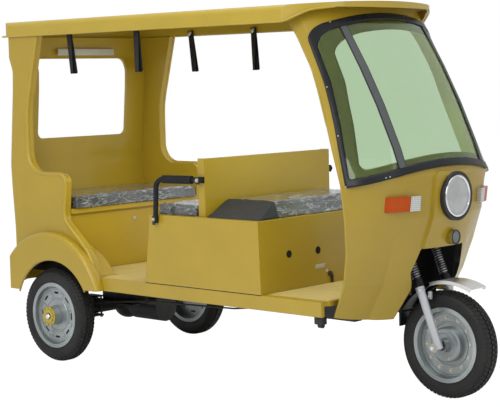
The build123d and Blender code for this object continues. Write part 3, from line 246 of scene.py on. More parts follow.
@dataclass(frozen=True)
class Finish:
    """One finish of the vehicle, named for the record's slot that it belongs to.

    Attributes:
        slot: The record's material slot.
        colour: Base colour, linear.
        rough: Roughness in the middle of its range.
        pattern: The relief's kind.
        relief: Depth of the relief in millimetres.
        repeats: How many times the relief repeats in a metre.
        metal: Metallic share.
        coat: Share of clear lacquer.
        drift: How far the colour drifts over the surface.
        accent: A second colour that the relief brings out; on the film it is painted highlight.
        accent_share: Share of the relief's range that takes the accent.
        edge: Radius that sharp edges are seen to have, in millimetres.
        clear: Share of light that passes through.
        shine: Strength of the reflections.
        stretch: Stretch of the relief along each axis.
        painted_shade_light_from: Point that a sheet's painted side faces: that side takes painted
            shade, and on the windscreen surround's inside painted light.
        painted_shade_light_colour: The painted shade's colour, pale on the surround for its
            painted light.
        behind: Place along the vehicle behind which the colour changes.
        rear_colour: The colour there.
        border: Distance of a band's middle from the vehicle's middle plane, and the half width
            past which the band is nearly black.
        name: The material's name where it isn't the slot's.
    """

    slot: str
    colour: Colour
    rough: float
    pattern: Pattern = Pattern.GRAIN
    relief: float = 0.05
    repeats: float = 300.0
    metal: float = 0.0
    coat: float = 0.0
    drift: float = 0.1
    accent: Colour | None = None
    accent_share: tuple[float, float] = (0.6, 0.7)
    edge: float = 0.0
    clear: float = 0.0
    shine: float = 0.5
    stretch: Point = (1.0, 1.0, 1.0)
    painted_shade_light_from: Point | None = None
    painted_shade_light_colour: Colour = INSIDE_PAINTED_SHADE
    behind: float | None = None
    rear_colour: Colour = NEAR_BLACK
    border: tuple[float, float] | None = None
    name: str = ""

    def height(self, book: Book) -> Any:
        """Build the relief's height from 0 to 1."""
        waves = {Pattern.WEAVE: "XZ", Pattern.MESH: "YZ", Pattern.RIBS: "Y"}.get(self.pattern)
        if waves:
            crossed = [book.wave(self.repeats, axis) for axis in waves]
            return book.maths("MULTIPLY", *crossed) if len(crossed) > 1 else crossed[0]
        if self.pattern is not Pattern.FILM:
            return book.noise(self.repeats, 4.0, self.stretch)
        height = 0.0
        for share, twist in CREASES:
            cloud = book.noise(self.repeats * share, 3.0, self.stretch, twist)
            away = book.maths("ABSOLUTE", book.maths("SUBTRACT", cloud, 0.5))
            crease = book.maths("SUBTRACT", 1.0, book.maths("MULTIPLY", away, CREASE_SHARPNESS))
            height = book.maths("MAXIMUM", crease, height)
        return height

    def painted_shade_light_share(self, book: Book) -> Any:
        """Give 1 on a sheet's side that takes painted shade (on the surround painted light), alike
        on both sides.
        """
        spot, facing, centre = book.axes("Object"), book.axes("Normal"), at(self.painted_shade_light_from)
        across = book.maths("SUBTRACT", book.maths("ABSOLUTE", spot["Y"]), centre.y)
        outward = book.maths("MULTIPLY", facing["Y"], book.maths("SIGN", spot["Y"]))
        total = book.maths("MULTIPLY", across, outward)
        for axis, middle in (("X", centre.x), ("Z", centre.z)):
            away = book.maths("SUBTRACT", spot[axis], middle)
            total = book.maths("ADD", total, book.maths("MULTIPLY", away, facing[axis]))
        return book.maths("LESS_THAN", total)

    def border_share(self, book: Book) -> Any:
        """Give 1 along the dark edges of a band that runs up the vehicle."""
        middle, half = self.border
        side = book.maths("ABSOLUTE", book.axes("Object")["Y"])
        away = book.maths("ABSOLUTE", book.maths("SUBTRACT", side, middle / METRE))
        return book.maths("GREATER_THAN", away, half / METRE)

    def tint(self, book: Book, height: Any) -> Any:
        """Build the colour with its drift, accent, borders and rear colour, and painted shade and
        light.
        """
        dark = tuple(c * (1 - self.drift) for c in self.colour)
        pale = tuple(min(1.0, c * (1 + self.drift)) for c in self.colour)
        colour = book.blend(book.span(book.noise(CLOUDS), 0.0, 1.0), dark, pale)
        # On the film this accent paints highlights along the creases.
        if self.accent and height:
            accented = book.span(height, 0.0, 1.0, *self.accent_share)
            colour = book.blend(accented, colour, self.accent)
        # Sides facing painted_shade_light_from take painted shade; the surround's inside takes
        # painted light.
        if self.painted_shade_light_from:
            colour = book.blend(self.painted_shade_light_share(book), colour, self.painted_shade_light_colour)
        if self.border:
            colour = book.blend(self.border_share(book), colour, NEAR_BLACK)
        # Behind that place the mudguard takes painted shade; the roundel's side takes its gold.
        if self.behind is not None:
            rear = book.maths("LESS_THAN", book.axes("Object")["X"], at((self.behind, 0, 0)).x)
            colour = book.blend(rear, colour, self.rear_colour)
        return colour

    def material(self) -> bpy.types.Material:
        """Build the finish's material, or give the one that was built before."""
        name = "finish_" + (self.name or self.slot)
        found = bpy.data.materials.get(name)
        if found:
            return found
        made = bpy.data.materials.new(name)
        book = Book(made)
        height = None if self.pattern is Pattern.SMOOTH else self.height(book)
        scuffed = book.span(book.noise(SCUFFS, 5.0), self.rough * 0.85, self.rough * 1.15)
        values = {
            "Metallic": self.metal, "Coat Weight": self.coat, "Coat Roughness": COAT_ROUGHNESS,
            "Specular IOR Level": self.shine, "Transmission Weight": self.clear,
            "Roughness": scuffed, "Base Color": self.tint(book, height),
        }
        if self.edge:
            values["Normal"] = book.add("Bevel", {"samples": BEVEL_SAMPLES},
                                        Radius=self.edge / METRE).outputs["Normal"]
        if height:
            bump = book.add("Bump", Distance=self.relief / METRE, Height=height)
            if self.edge:
                book.put(bump.inputs["Normal"], values["Normal"])
            values["Normal"] = bump.outputs["Normal"]
        shader = book.find("BSDF_PRINCIPLED")
        for key, value in values.items():
            book.put(shader.inputs[key], value)
        return made


GOLD = Finish("gold_paint", (0.415, 0.285, 0.018), 0.34, relief=0.02, repeats=420.0, coat=0.3,
              drift=0.04, edge=5.0)
GOLD_ROOF = Finish("gold_roof", (0.45, 0.32, 0.026), 0.32, relief=0.02, repeats=420.0, coat=0.3,
                   drift=0.04, edge=6.0)
# The cowl's gold is a darker copy of the same paint, as painted shade, and its inside takes
# near-black painted shade.
GOLD_COWL_PAINTED_SHADE = replace(GOLD, colour=(0.35, 0.24, 0.014), painted_shade_light_from=(1500.0, 0.0, 600.0),
                    name="gold_paint_cowl_painted_shade")
# The surround's inside is pale: painted light where the glass keeps the lamps' light out.
GOLD_SURROUND_PAINTED_LIGHT = replace(GOLD, painted_shade_light_from=(1500.0, 0.0, 1300.0), painted_shade_light_colour=(0.85, 0.84, 0.34),
                        name="gold_paint_surround_painted_light")
# Sides facing the rear wheels and the inside of the nose take near-black painted shade.
GOLD_FENDER_PAINTED_SHADE = replace(GOLD, painted_shade_light_from=(0.0, 450.0, 235.0), name="gold_paint_fender_painted_shade")
GOLD_ARCH_PAINTED_SHADE = replace(GOLD, painted_shade_light_from=(0.0, 600.0, 235.0), name="gold_paint_arch_painted_shade")
GOLD_TOE_BOARD_PAINTED_SHADE = replace(GOLD, painted_shade_light_from=(2500.0, 0.0, 550.0), name="gold_paint_toe_board_painted_shade")
GOLD_FLOOR = Finish("gold_paint", (0.56, 0.44, 0.16), 0.5, relief=0.1, repeats=40.0, drift=0.08,
                    stretch=(8.0, 1.0, 1.0), name="gold_floor")
BLACK_PAINT = Finish("black_paint", (0.014, 0.014, 0.015), 0.45, relief=0.12, repeats=90.0,
                     drift=0.3, edge=1.5)
SILVER = Finish("silver_paint", (0.50, 0.52, 0.55), 0.38, relief=0.03, metal=0.35, coat=0.3,
                edge=1.0)
GREY = Finish("grey_paint", (0.34, 0.375, 0.38), 0.34, relief=0.5, repeats=70.0, metal=0.6,
              coat=0.2, drift=0.3, edge=1.5)
GREY_MESH = Finish("grey_paint", (0.18, 0.20, 0.21), 0.5, Pattern.MESH, 1.6, 330.0, metal=0.5,
                   accent=(0.42, 0.44, 0.44), behind=2107.5, rear_colour=(0.35, 0.24, 0.014),
                   name="grey_mesh")
CHROME = Finish("chrome_plate", (0.78, 0.79, 0.80), 0.12, relief=0.01, metal=1.0, drift=0.04)
COIL = replace(CHROME, colour=(0.40, 0.41, 0.42), rough=0.32, name="coil_steel")
# The chrome bowl is near-white and matte: painted reflection standing in for its bright shine.
BOWL_PAINTED_REFLECTION = Finish("chrome_plate", (0.92, 0.93, 0.93), 0.35, Pattern.RIBS, 0.6, 70.0, metal=0.05,
              accent=(0.50, 0.51, 0.51), accent_share=(0.6, 1.0), name="lamp_bowl_painted_reflection")
BRIGHT = Finish("bright_steel", (0.78, 0.78, 0.77), 0.3, Pattern.BRUSHED, 0.04, 40.0, metal=0.9,
                drift=0.08, stretch=(1.0, 18.0, 1.0), edge=1.5)
# The mudguard's part behind x 2006 is near-black: painted shade and painted reflection of the dark
# nose.
GUARD_PAINTED_SHADE = replace(BRIGHT, behind=2006.0, name="guard_steel_painted_shade")
BRASS = Finish("bright_steel", (0.52, 0.42, 0.10), 0.34, relief=0.05, repeats=120.0, metal=0.9,
               drift=0.12, name="brass")
PALE_BOLT = Finish("bright_steel", (0.55, 0.53, 0.47), 0.4, metal=0.4, name="pale_bolt")
LEAF = Finish("spring_steel", (0.03, 0.028, 0.026), 0.55, relief=0.2, repeats=70.0, metal=0.5,
              drift=0.3, accent=(0.07, 0.045, 0.03), accent_share=(0.58, 0.72))
BLACK_PLASTIC = Finish("black_plastic", (0.013, 0.013, 0.015), 0.38, relief=0.04, repeats=500.0,
                       edge=4.0)
# Near-black: painted shade in the seat box's holes and behind the rear wheels' slots, and the dark
# seam at the seat box's foot.
HOLE_SHADE_AND_SEAM = Finish("black_plastic", (0.004, 0.004, 0.004), 0.8, name="hole_shade_and_seam_black")
GREY_PLASTIC = Finish("grey_plastic", (0.050, 0.057, 0.060), 0.5, Pattern.RIBS, 0.8, 165.0,
                      accent=(0.12, 0.13, 0.132), accent_share=(0.5, 0.9), border=(287.0, 15.0))
RUBBER = Finish("black_rubber", (0.012, 0.013, 0.016), 0.3, repeats=260.0, drift=0.2, edge=13.0,
                shine=0.3)
FOAM = Finish("black_rubber", (0.011, 0.012, 0.014), 0.6, relief=0.25, repeats=420.0, drift=0.2,
              edge=1.0, shine=0.25, name="foam_rubber")
TYRE = Finish("tyre_rubber", (0.013, 0.013, 0.013), 0.6, relief=0.12, repeats=180.0, drift=0.25,
              shine=0.35, accent=(0.055, 0.05, 0.043), accent_share=(0.55, 0.8))
WEBBING = Finish("black_webbing", (0.011, 0.011, 0.012), 0.8, Pattern.WEAVE, 0.5, 420.0,
                 drift=0.2)
VINYL = Finish("grey_vinyl", (0.030, 0.033, 0.036), 0.6, relief=0.35, repeats=330.0, drift=0.12,
               name="dark_vinyl")
# The film's pale accent along its creases is painted highlight, standing in for the sheen of
# crinkled plastic.
FILM = Finish("grey_vinyl", (0.070, 0.082, 0.090), 0.14, Pattern.FILM, 5.0, 7.5, coat=1.0,
              drift=0.5, accent=(0.36, 0.41, 0.44), accent_share=(0.2, 1.0),
              stretch=(1.2, 0.5, 2.2), shine=0.9)
GLASS = Finish("tinted_glass", (0.41, 0.56, 0.36), 0.02, Pattern.SMOOTH, clear=1.0, drift=0.01)
# Part of the glass is pale and matte: painted light standing in for the lit bowl seen through it.
LENS_PAINTED_LIGHT = Finish("clear_lens", (0.86, 0.88, 0.88), 0.06, Pattern.RIBS, 0.7, 110.0, clear=0.7,
              drift=0.01)
PALE_LENS = Finish("clear_lens", (0.40, 0.41, 0.40), 0.14, Pattern.MESH, 0.4, 120.0, coat=0.6,
                   accent=(0.76, 0.77, 0.74), accent_share=(0.1, 0.8), edge=2.5, name="pale_lens")
AMBER = Finish("amber_lens", (0.36, 0.045, 0.0), 0.22, Pattern.MESH, 0.4, 120.0, drift=0.4,
               coat=0.1, accent=(0.55, 0.10, 0.0), accent_share=(0.1, 0.9), edge=2.5, shine=0.2)
RED = Finish("red_lens", (0.42, 0.018, 0.012), 0.16, Pattern.MESH, 0.5, 160.0, coat=0.6, edge=3.0)
PLATE = Finish("plate_white", (0.66, 0.66, 0.64), 0.35, relief=0.02, edge=1.0)
LABEL = Finish("plate_white", (0.50, 0.50, 0.44), 0.5, relief=0.01, name="blank_label")
MOTOR = Finish("motor_aluminium", (0.05, 0.05, 0.052), 0.5, relief=0.4, repeats=60.0, metal=0.5,
               edge=3.0)
CASE = Finish("battery_case", (0.03, 0.03, 0.034), 0.5, edge=3.0)


class Shape:
    """A mesh in the making, from bmesh operators, in millimetres from the rear axle."""

    def __init__(self) -> None:
        """Start an empty mesh."""
        self.mesh = bmesh.new()

    def take(self, part: bmesh.types.BMesh, place: Matrix | None = None) -> "Shape":
        """Move a small mesh into place and add it."""
        bmesh.ops.transform(part, matrix=place or Matrix(), verts=part.verts)
        data = bpy.data.meshes.new("part")
        part.to_mesh(data)
        part.free()
        self.mesh.from_mesh(data)
        bpy.data.meshes.remove(data)
        return self

    def block(self, centre: Point, size: Point, bevel: float = 0.0,
              turn: Matrix | None = None) -> "Shape":
        """Add a block with rounded edges."""
        part = bmesh.new()
        bmesh.ops.create_cube(part, size=1.0)
        bmesh.ops.scale(part, vec=Vector(size) / METRE, verts=part.verts)
        if bevel:
            bmesh.ops.bevel(part, geom=part.edges, offset=bevel / METRE, segments=2,
                            profile=0.5, affect="EDGES", material=-1)
        return self.take(part, Matrix.Translation(at(centre)) @ (turn or Matrix()))

    def lathe(self, profile: Profile, centre: Iterable[float],
              axis: Iterable[float] = (0, 1, 0), steps: int = 48) -> "Shape":
        """Spin a profile of radius and height round an axis.

        Args:
            profile: Rows of the distance from the axis and the distance along it.
            centre: Where the axis starts.
            axis: The axis's direction.
            steps: Number of faces round the axis.

        Returns:
            The shape itself.
        """
        part = bmesh.new()
        verts = [part.verts.new((radius / METRE, 0, height / METRE)) for radius, height in profile]
        edges = [part.edges.new(pair) for pair in zip(verts, verts[1:])]
        bmesh.ops.spin(part, geom=verts + edges, cent=(0, 0, 0), axis=(0, 0, 1),
                       angle=math.tau, steps=steps, use_merge=True)
        bmesh.ops.remove_doubles(part, verts=part.verts, dist=1e-6)
        bmesh.ops.recalc_face_normals(part, faces=part.faces)
        turned = Vector(axis).to_track_quat("Z", "Y").to_matrix().to_4x4()
        return self.take(part, Matrix.Translation(at(centre)) @ turned)

    def rod(self, start: Point, end: Point, radius: float, bevel: float = 0.0,
            steps: int = 20) -> "Shape":
        """Add a round bar between two points."""
        way = Vector(end) - Vector(start)
        profile = [(0.0, 0.0), (radius - bevel, 0.0), (radius, bevel),
                   (radius, way.length - bevel), (radius - bevel, way.length), (0.0, way.length)]
        return self.lathe(profile, start, way, steps)

    def bolt(self, seat: Point, axis: Point, across: float, height: float) -> "Shape":
        """Add a bolt's head with a washer under it."""
        seated, way = Vector(seat), Vector(axis)
        self.rod(seat, tuple(seated + way * (height * 0.25)), across * 0.75, 0.3)
        return self.lathe([(0, 0), (across / 2, 0), (across / 2, height * 0.85),
                           (across * 0.42, height), (0, height)], seat,
                          (seated + way * height) - seated, 6)

    def tube(self, points: Sequence[Point], radius: float, sides: int = 2) -> "Shape":
        """Add a round tube along a line of points."""
        curve = bpy.data.curves.new("line", "CURVE")
        curve.dimensions = "3D"
        spline = curve.splines.new("POLY")
        spline.points.add(len(points) - 1)
        for knot, point in zip(spline.points, points):
            knot.co = (*at(point), 1.0)
        curve.bevel_depth = radius / METRE
        curve.bevel_resolution = sides
        curve.use_fill_caps = True
        holder = bpy.data.objects.new("line", curve)
        data = bpy.data.meshes.new_from_object(holder)
        part = bmesh.new()
        part.from_mesh(data)
        bpy.data.meshes.remove(data)
        bpy.data.objects.remove(holder)
        bpy.data.curves.remove(curve)
        bmesh.ops.remove_doubles(part, verts=part.verts, dist=1e-6)
        return self.take(part)

    def ribbon(self, points: Sequence[Point], across: Sequence[Vector], width: float,
               thickness: float) -> "Shape":
        """Add a flat band along a line, with its own direction across at every point."""
        part = bmesh.new()
        half = width / 2 / METRE
        ends = [part.verts.new(at(points[0]) + across[0] * side * half) for side in SIDES]
        edge = part.edges.new(ends)
        for point, direction in zip(points[1:], across[1:]):
            made = bmesh.ops.extrude_edge_only(part, edges=[edge])["geom"]
            edge = next(e for e in made if isinstance(e, bmesh.types.BMEdge))
            for vert, side in zip(edge.verts, SIDES):
                vert.co = at(point) + direction * side * half
        bmesh.ops.recalc_face_normals(part, faces=part.faces)
        bmesh.ops.solidify(part, geom=part.faces[:], thickness=thickness / METRE)
        return self.take(part)

    def piece(self, name: str, finish: Finish, body: str = "chassis",
              replaces: Sequence[str] = (), smooth: float = 38.0) -> bpy.types.Object:
        """Finish the mesh as a named piece that rides on a body.

        Args:
            name: The piece's name.
            finish: Its finish.
            body: The body that it moves with.
            replaces: Solids that it stands for.
            smooth: Angle in degrees under which faces are shaded as one surface.

        Returns:
            The piece's object.
        """
        bmesh.ops.recalc_face_normals(self.mesh, faces=self.mesh.faces)
        data = bpy.data.meshes.new(name)
        self.mesh.to_mesh(data)
        self.mesh.free()
        data.shade_smooth()
        data.set_sharp_from_angle(angle=math.radians(smooth))
        data.materials.append(finish.material())
        made = bpy.data.objects.new(name, data)
        bpy.context.scene.collection.objects.link(made)
        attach(made, body)
        if replaces:
            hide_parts(*replaces)
        LOG.info("piece %s on %s: %d faces", name, body, len(data.polygons))
        return made


def dress(finish: Finish, *nodes: str) -> None:
    """Give solids of the frame their finish."""
    for node in nodes:
        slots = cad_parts[node].data.materials
        slots.clear()
        slots.append(finish.material())
        LOG.info("solid %s: %s", node, finish.slot)


@dataclass
class Coachwork:
    """Roof, quarters, fenders, cowl and floor, with their rolled edges.

    Attributes:
        doorway: Corners of the passengers' doorway, each with its radius.
        fender_centre: The middle of the rear wheel opening, across the vehicle at its lip.
        fender_radius: Radius of the lip round it.
        skirt: Corners of the lower edge of the roof's skirt, each with its radius.
        edge_line: Height, place along and half width of the cowl's and the pillars' rear edge.
        sheets: Middle, length and width of each pale floor sheet.
        nose_shade_sheet: Both ends of the middle line of a dark sheet in the nose, painted shade,
            and the way that it stands.
    """

    doorway: tuple[Point, ...] = (
        (-92, 1634, 0), (-190, 1270, 400), (-190, 945, 110), (103, 945, 40), (78, 722, 70),
        (262, 560, 160), (344, 388, 0))
    fender_centre: Point = (24, 524, TYRE_RADIUS)
    fender_radius: float = 285.0
    skirt: tuple[Point, ...] = (
        (-352, 1640, 0), (1582, 1640, 90), (1672, 1688, 110), (1738, 1699, 0))
    edge_line: tuple[Point, ...] = (
        (420, 1785, 418), (520, 1830, 427), (660, 1868, 452), (800, 1886, 480),
        (930, 1868, 477), (1055, 1842, 463), (1200, 1768, 447), (1347, 1714, 434),
        (1440, 1675, 427), (1577, 1594, 422), (1625, 1560, 420))
    sheets: tuple[tuple[float, float, float, float], ...] = (
        (376, 0, 564, 716), (504, -418, 308, 119), (504, 418, 308, 119), (1580, 0, 344, 870))
    nose_shade_sheet: tuple[Point, Point, Point] = (
        (1784.4, 268.0, 588.0), (1978.0, 179.0, 588.0), (0.0, 0.24, 0.97))

    def build(self) -> None:
        """Dress the body's solids and roll its edges."""
        dress(GOLD_ROOF, "roof_shell")
        dress(GOLD, "rear_quarter_right", "rear_quarter_left", "rear_wall", "floor_pan")
        dress(GOLD_SURROUND_PAINTED_LIGHT, "windscreen_surround")
        dress(GOLD_FENDER_PAINTED_SHADE, "rear_fender_right", "rear_fender_left")
        dress(GOLD_ARCH_PAINTED_SHADE, "wheel_arches")
        dress(GOLD_COWL_PAINTED_SHADE, "front_cowl")
        dress(GOLD_TOE_BOARD_PAINTED_SHADE, "bulkhead")
        self.doorway_beads()
        self.fender_beads()
        self.roof_beads()
        self.pillar_beads()
        self.floor_sheets()
        self.nose_shade_sheets()
        Shape().block((-299.0, 20.0, 1560.0), (2.0, 390.0, 34.0), 0.8).piece("blank_strip", LABEL)

    def doorway_beads(self) -> None:
        """Roll the edge of the passengers' doorway on each side."""
        shape = Shape()
        for side in SIDES:
            y = side * (HALF_BODY - 5)
            shape.tube([(x - 7, y, z) for x, z in rounded(self.doorway)], 11.0, sides=4)
        shape.piece("doorway_beads", GOLD)

    def fender_beads(self) -> None:
        """Roll the lip round each rear wheel opening."""
        shape = Shape()
        x, y, z = self.fender_centre
        steps, start, sweep = 40, 30, 128
        for side in SIDES:
            shape.tube([on_circle((x, side * y, z), self.fender_radius,
                                  math.radians(start + sweep * step / steps))
                        for step in range(steps + 1)], 5.0, sides=3)
        shape.piece("fender_beads", GOLD)

    def roof_beads(self) -> None:
        """Roll the lower edge of the roof's skirt and its rear lip."""
        shape = Shape()
        for side in SIDES:
            shape.tube([(x, side * self.skirt_y(x), z) for x, z in rounded(self.skirt)], 5.0,
                       sides=3)
        shape.tube([(-362.0, y, 1641.0) for y in (-430.0, 0.0, 430.0)], 6.0)
        shape.piece("roof_beads", GOLD_ROOF)

    @staticmethod
    def skirt_y(x: float) -> float:
        """Give the skirt's half width at a place along the roof."""
        start, shoulder, half, narrowing, bend = 1568.0, 1756.0, 489.0, 189.0, 1.75
        return half - narrowing * max(0.0, (x - start) / (shoulder - start)) ** bend

    def pillar_beads(self) -> None:
        """Roll the rear edge of the windscreen's pillars and of the cowl."""
        shape = Shape()
        inset = 3.0
        for side in SIDES:
            line = []
            for z in range(420, 1621, 24):
                (low, *start), (high, *end) = next(
                    pair for pair in zip(self.edge_line, self.edge_line[1:])
                    if pair[0][0] <= z <= pair[1][0])
                share = (z - low) / (high - low)
                x, y = (a + (b - a) * share for a, b in zip(start, end))
                line.append((x + inset, side * (y - inset), float(z)))
            shape.tube(line, 5.0, sides=3)
        shape.piece("pillar_beads", GOLD)

    def floor_sheets(self) -> None:
        """Lay the pale floor sheets ahead of each bench."""
        shape = Shape()
        for x, y, length, width in self.sheets:
            shape.block((x, y, FLOOR_Z + 1.0), (length, width, 2.0))
        shape.piece("floor_sheets", GOLD_FLOOR)

    def nose_shade_sheets(self) -> None:
        """Stand a dark sheet in the nose behind the fork on each side, as painted shade."""
        shape = Shape()
        for side in SIDES:
            *ends, stand = ((x, side * y, z) for x, y, z in self.nose_shade_sheet)
            shape.ribbon(ends, [Vector(stand)] * 2, 262.0, 2.4)
        shape.piece("nose_shade_sheets", BLACK_PLASTIC)


@dataclass
class Seating:
    """Seat boxes, the board between them and the three pads.

    Attributes:
        cell: Size of the faces that a pad is cut into.
        foot: Height of the band at a pad's foot that stays square.
        crease_depth: How deep the creases in the film are.
        crease_scale: How often they come along each axis, in a metre.
        seed_step: Distance in the noise between the creases of two pads.
        shrink: How far the film lies inside the cushion's solid.
        pull: How far a pad's long sides are drawn in.
        front: Place of the seat box's front at the floor, its lean and its height.
        hole_places: Places across and up of the holes in that front.
    """

    cell: float = 9.0
    foot: float = 12.0
    crease_depth: float = 4.5
    crease_scale: Point = (26.0, 11.0, 30.0)
    seed_step: float = 7.3
    shrink: float = 4.0
    pull: float = 6.0
    front: Point = (1405.0, 10.0, 326.0)
    hole_places: tuple[tuple[float, float], ...] = ((-284.0, 613.7), (-85.0, 611.0))

    def build(self) -> None:
        """Dress the seat boxes and lay the pads on them."""
        dress(GOLD, "seat_box", "rear_bench_box", "partition_board")
        dress(CASE, "battery_pack")
        self.pad("bench_pad", "rear_bench_cushion", 9.0, 6)
        self.pad("facing_pad", "passenger_cushion", 7.0, 5)
        driver = self.pad("driver_pad", "driver_cushion", 4.0, 7)
        driver.data.materials.append(VINYL.material())
        for face in driver.data.polygons:
            face.material_index = int(face.center.y * METRE < -318.0)
        self.fittings()

    def cut_up(self, part: bmesh.types.BMesh, low: Vector, high: Vector) -> None:
        """Cut a cushion's solid into small faces and soften its upper edges."""
        step = self.cell / METRE
        for axis in range(3):
            for cut in range(1, int((high[axis] - low[axis]) / step)):
                point, normal = low.copy(), Vector((0, 0, 0))
                point[axis] += cut * step
                normal[axis] = 1
                bmesh.ops.bisect_plane(part, geom=part.verts[:] + part.edges[:] + part.faces[:],
                                       plane_co=point, plane_no=normal)
        bmesh.ops.triangulate(part, faces=[f for f in part.faces if len(f.verts) > 4])
        for _ in range(2):
            top = [v for v in part.verts if v.co.z > low.z + self.foot / METRE]
            bmesh.ops.smooth_vert(part, verts=top, factor=0.5, use_axis_x=True, use_axis_y=True,
                                  use_axis_z=True)

    def puff(self, part: bmesh.types.BMesh, low: Vector, high: Vector, crown: float,
             seed: int) -> None:
        """Raise a pad's middle, draw in its sides and crease its film.

        Args:
            part: The pad's mesh.
            low: The lower corner of the solid's box.
            high: The upper corner of the solid's box.
            crown: How far its middle rises, in millimetres.
            seed: Place in the noise that its creases are read from.
        """
        middle, half = (low + high) / 2, (high - low) / 2
        along, across, up = self.crease_scale
        depth, shrink, drawn = (v / METRE for v in (self.crease_depth, self.shrink, self.pull))
        for vert in part.verts:
            u, v = ((vert.co[i] - middle[i]) / half[i] for i in (0, 1))
            rise = (vert.co.z - low.z) / (high.z - low.z)
            bulge = max(0.0, 1 - u ** 4) * max(0.0, 1 - v ** 4) * rise * crown / METRE
            spot = Vector((vert.co.x * along, vert.co.y * across,
                           vert.co.z * up + seed * self.seed_step))
            crease = noise.turbulence(spot, 3, True) * rise * depth
            inward = (1 - v * v) * drawn * (-1 if u > 0 else 1) * min(1.0, abs(u) ** 6)
            vert.co += vert.normal * (crease - shrink * rise) + Vector((inward, 0, bulge))

    def pad(self, name: str, node: str, crown: float, seed: int) -> bpy.types.Object:
        """Lay a film-wrapped pad in the place of a cushion's solid.

        Args:
            name: The pad's name.
            node: The solid that it stands for.
            crown: How far its middle rises, in millimetres.
            seed: Place in the noise that its creases are read from.

        Returns:
            The pad's object.
        """
        part = bmesh.new()
        part.from_mesh(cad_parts[node].data)
        bmesh.ops.remove_doubles(part, verts=part.verts, dist=1e-5)
        bmesh.ops.dissolve_limit(part, angle_limit=0.02, verts=part.verts, edges=part.edges)
        low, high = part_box(node)
        self.cut_up(part, low, high)
        part.normal_update()
        self.puff(part, low, high, crown, seed)
        made = Shape().take(part).piece(name, FILM, "chassis", [node], 75.0)
        return made

    def face_x(self, z: float) -> float:
        """Give the place just clear of the seat box's sloped front at a height."""
        foot_x, lean, height = self.front
        return foot_x - lean * (z - FLOOR_Z) / height + 0.4

    def fittings(self) -> None:
        """Add painted shade in the seat box's holes, its lock, blank label and seams, and the
        bench's screw.
        """
        face_x, ahead = self.face_x, (1, 0, 0)
        hole_shade, lock, label, seams = Shape(), Shape(), Shape(), Shape()
        # Each hole is a black disc, painted shade for the dark inside of the box.
        for y, z in self.hole_places:
            hole_shade.rod((face_x(z) - 3, y, z), (face_x(z) + 1.2, y, z), 17.0, 0.5, 24)
        hole_shade.piece("seat_box_hole_shade", HOLE_SHADE_AND_SEAM)
        lock.lathe([(0, 0), (12, 0), (12, 6), (9, 10), (0, 10)], (face_x(495), -8.0, 495.0),
                   ahead, 24)
        lock.block((face_x(470) + 4, 4.0, 472.0), (8.0, 12.0, 40.0), 2.5)
        lock.piece("seat_box_lock", BLACK_PLASTIC)
        label.block((face_x(536) + 0.4, -75.0, 536.0), (1.2, 66.0, 20.0), 0.4)
        label.piece("seat_box_label", LABEL)
        Shape().bolt((face_x(510), -30.0, 510.0), ahead, 12.0, 6.0).piece(
            "seat_box_catch", PALE_BOLT)
        for side in SIDES:
            seams.block((1033.0, side * (HALF_BODY + 0.3), FLOOR_Z + 0.5), (742.0, 1.2, 3.0))
        seams.piece("seat_box_seams", HOLE_SHADE_AND_SEAM)
        Shape().bolt((74.5, -10.5, 687.0), ahead, 15.0, 9.0).piece("bench_bolt", PALE_BOLT)


@dataclass
class Windscreen:
    """Glass, rubber, strips and the screws that hold them.

    Attributes:
        screws: Where each screw sits on the right side, and the way that it faces.
    """

    screws: tuple[tuple[Point, Point], ...] = (
        ((1708.8, -335.7, 1633.8), (0.76, -0.42, 0.50)),
        ((1771.2, -437.7, 1359.0), (0.62, -0.72, 0.31)),
        ((1843.5, -458.5, 1155.2), (0.51, -0.82, 0.26)),
        ((1901.2, -482.4, 946.2), (0.10, -0.99, 0.10)),
        ((2025.3, -372.5, 979.9), (0.77, -0.53, 0.36)),
        ((2033.7, -356.3, 983.3), (0.80, -0.48, 0.36)))

    def build(self) -> None:
        """Dress the windscreen's solids and set the screws."""
        dress(GLASS, "windscreen_glass")
        dress(RUBBER, "windscreen_gasket")
        dress(GREY_PLASTIC, "windscreen_strips")
        dress(BLACK_PLASTIC, "dash_shelf")
        shape = Shape()
        for spot, facing in self.screws:
            for side in SIDES:
                flip = Vector((1, -side, 1))
                place, way = Vector(spot) * flip, Vector(facing) * flip
                shape.bolt(tuple(place - way), tuple(way), 6.0, 3.4)
        shape.piece("windscreen_screws", PALE_BOLT, smooth=20.0)


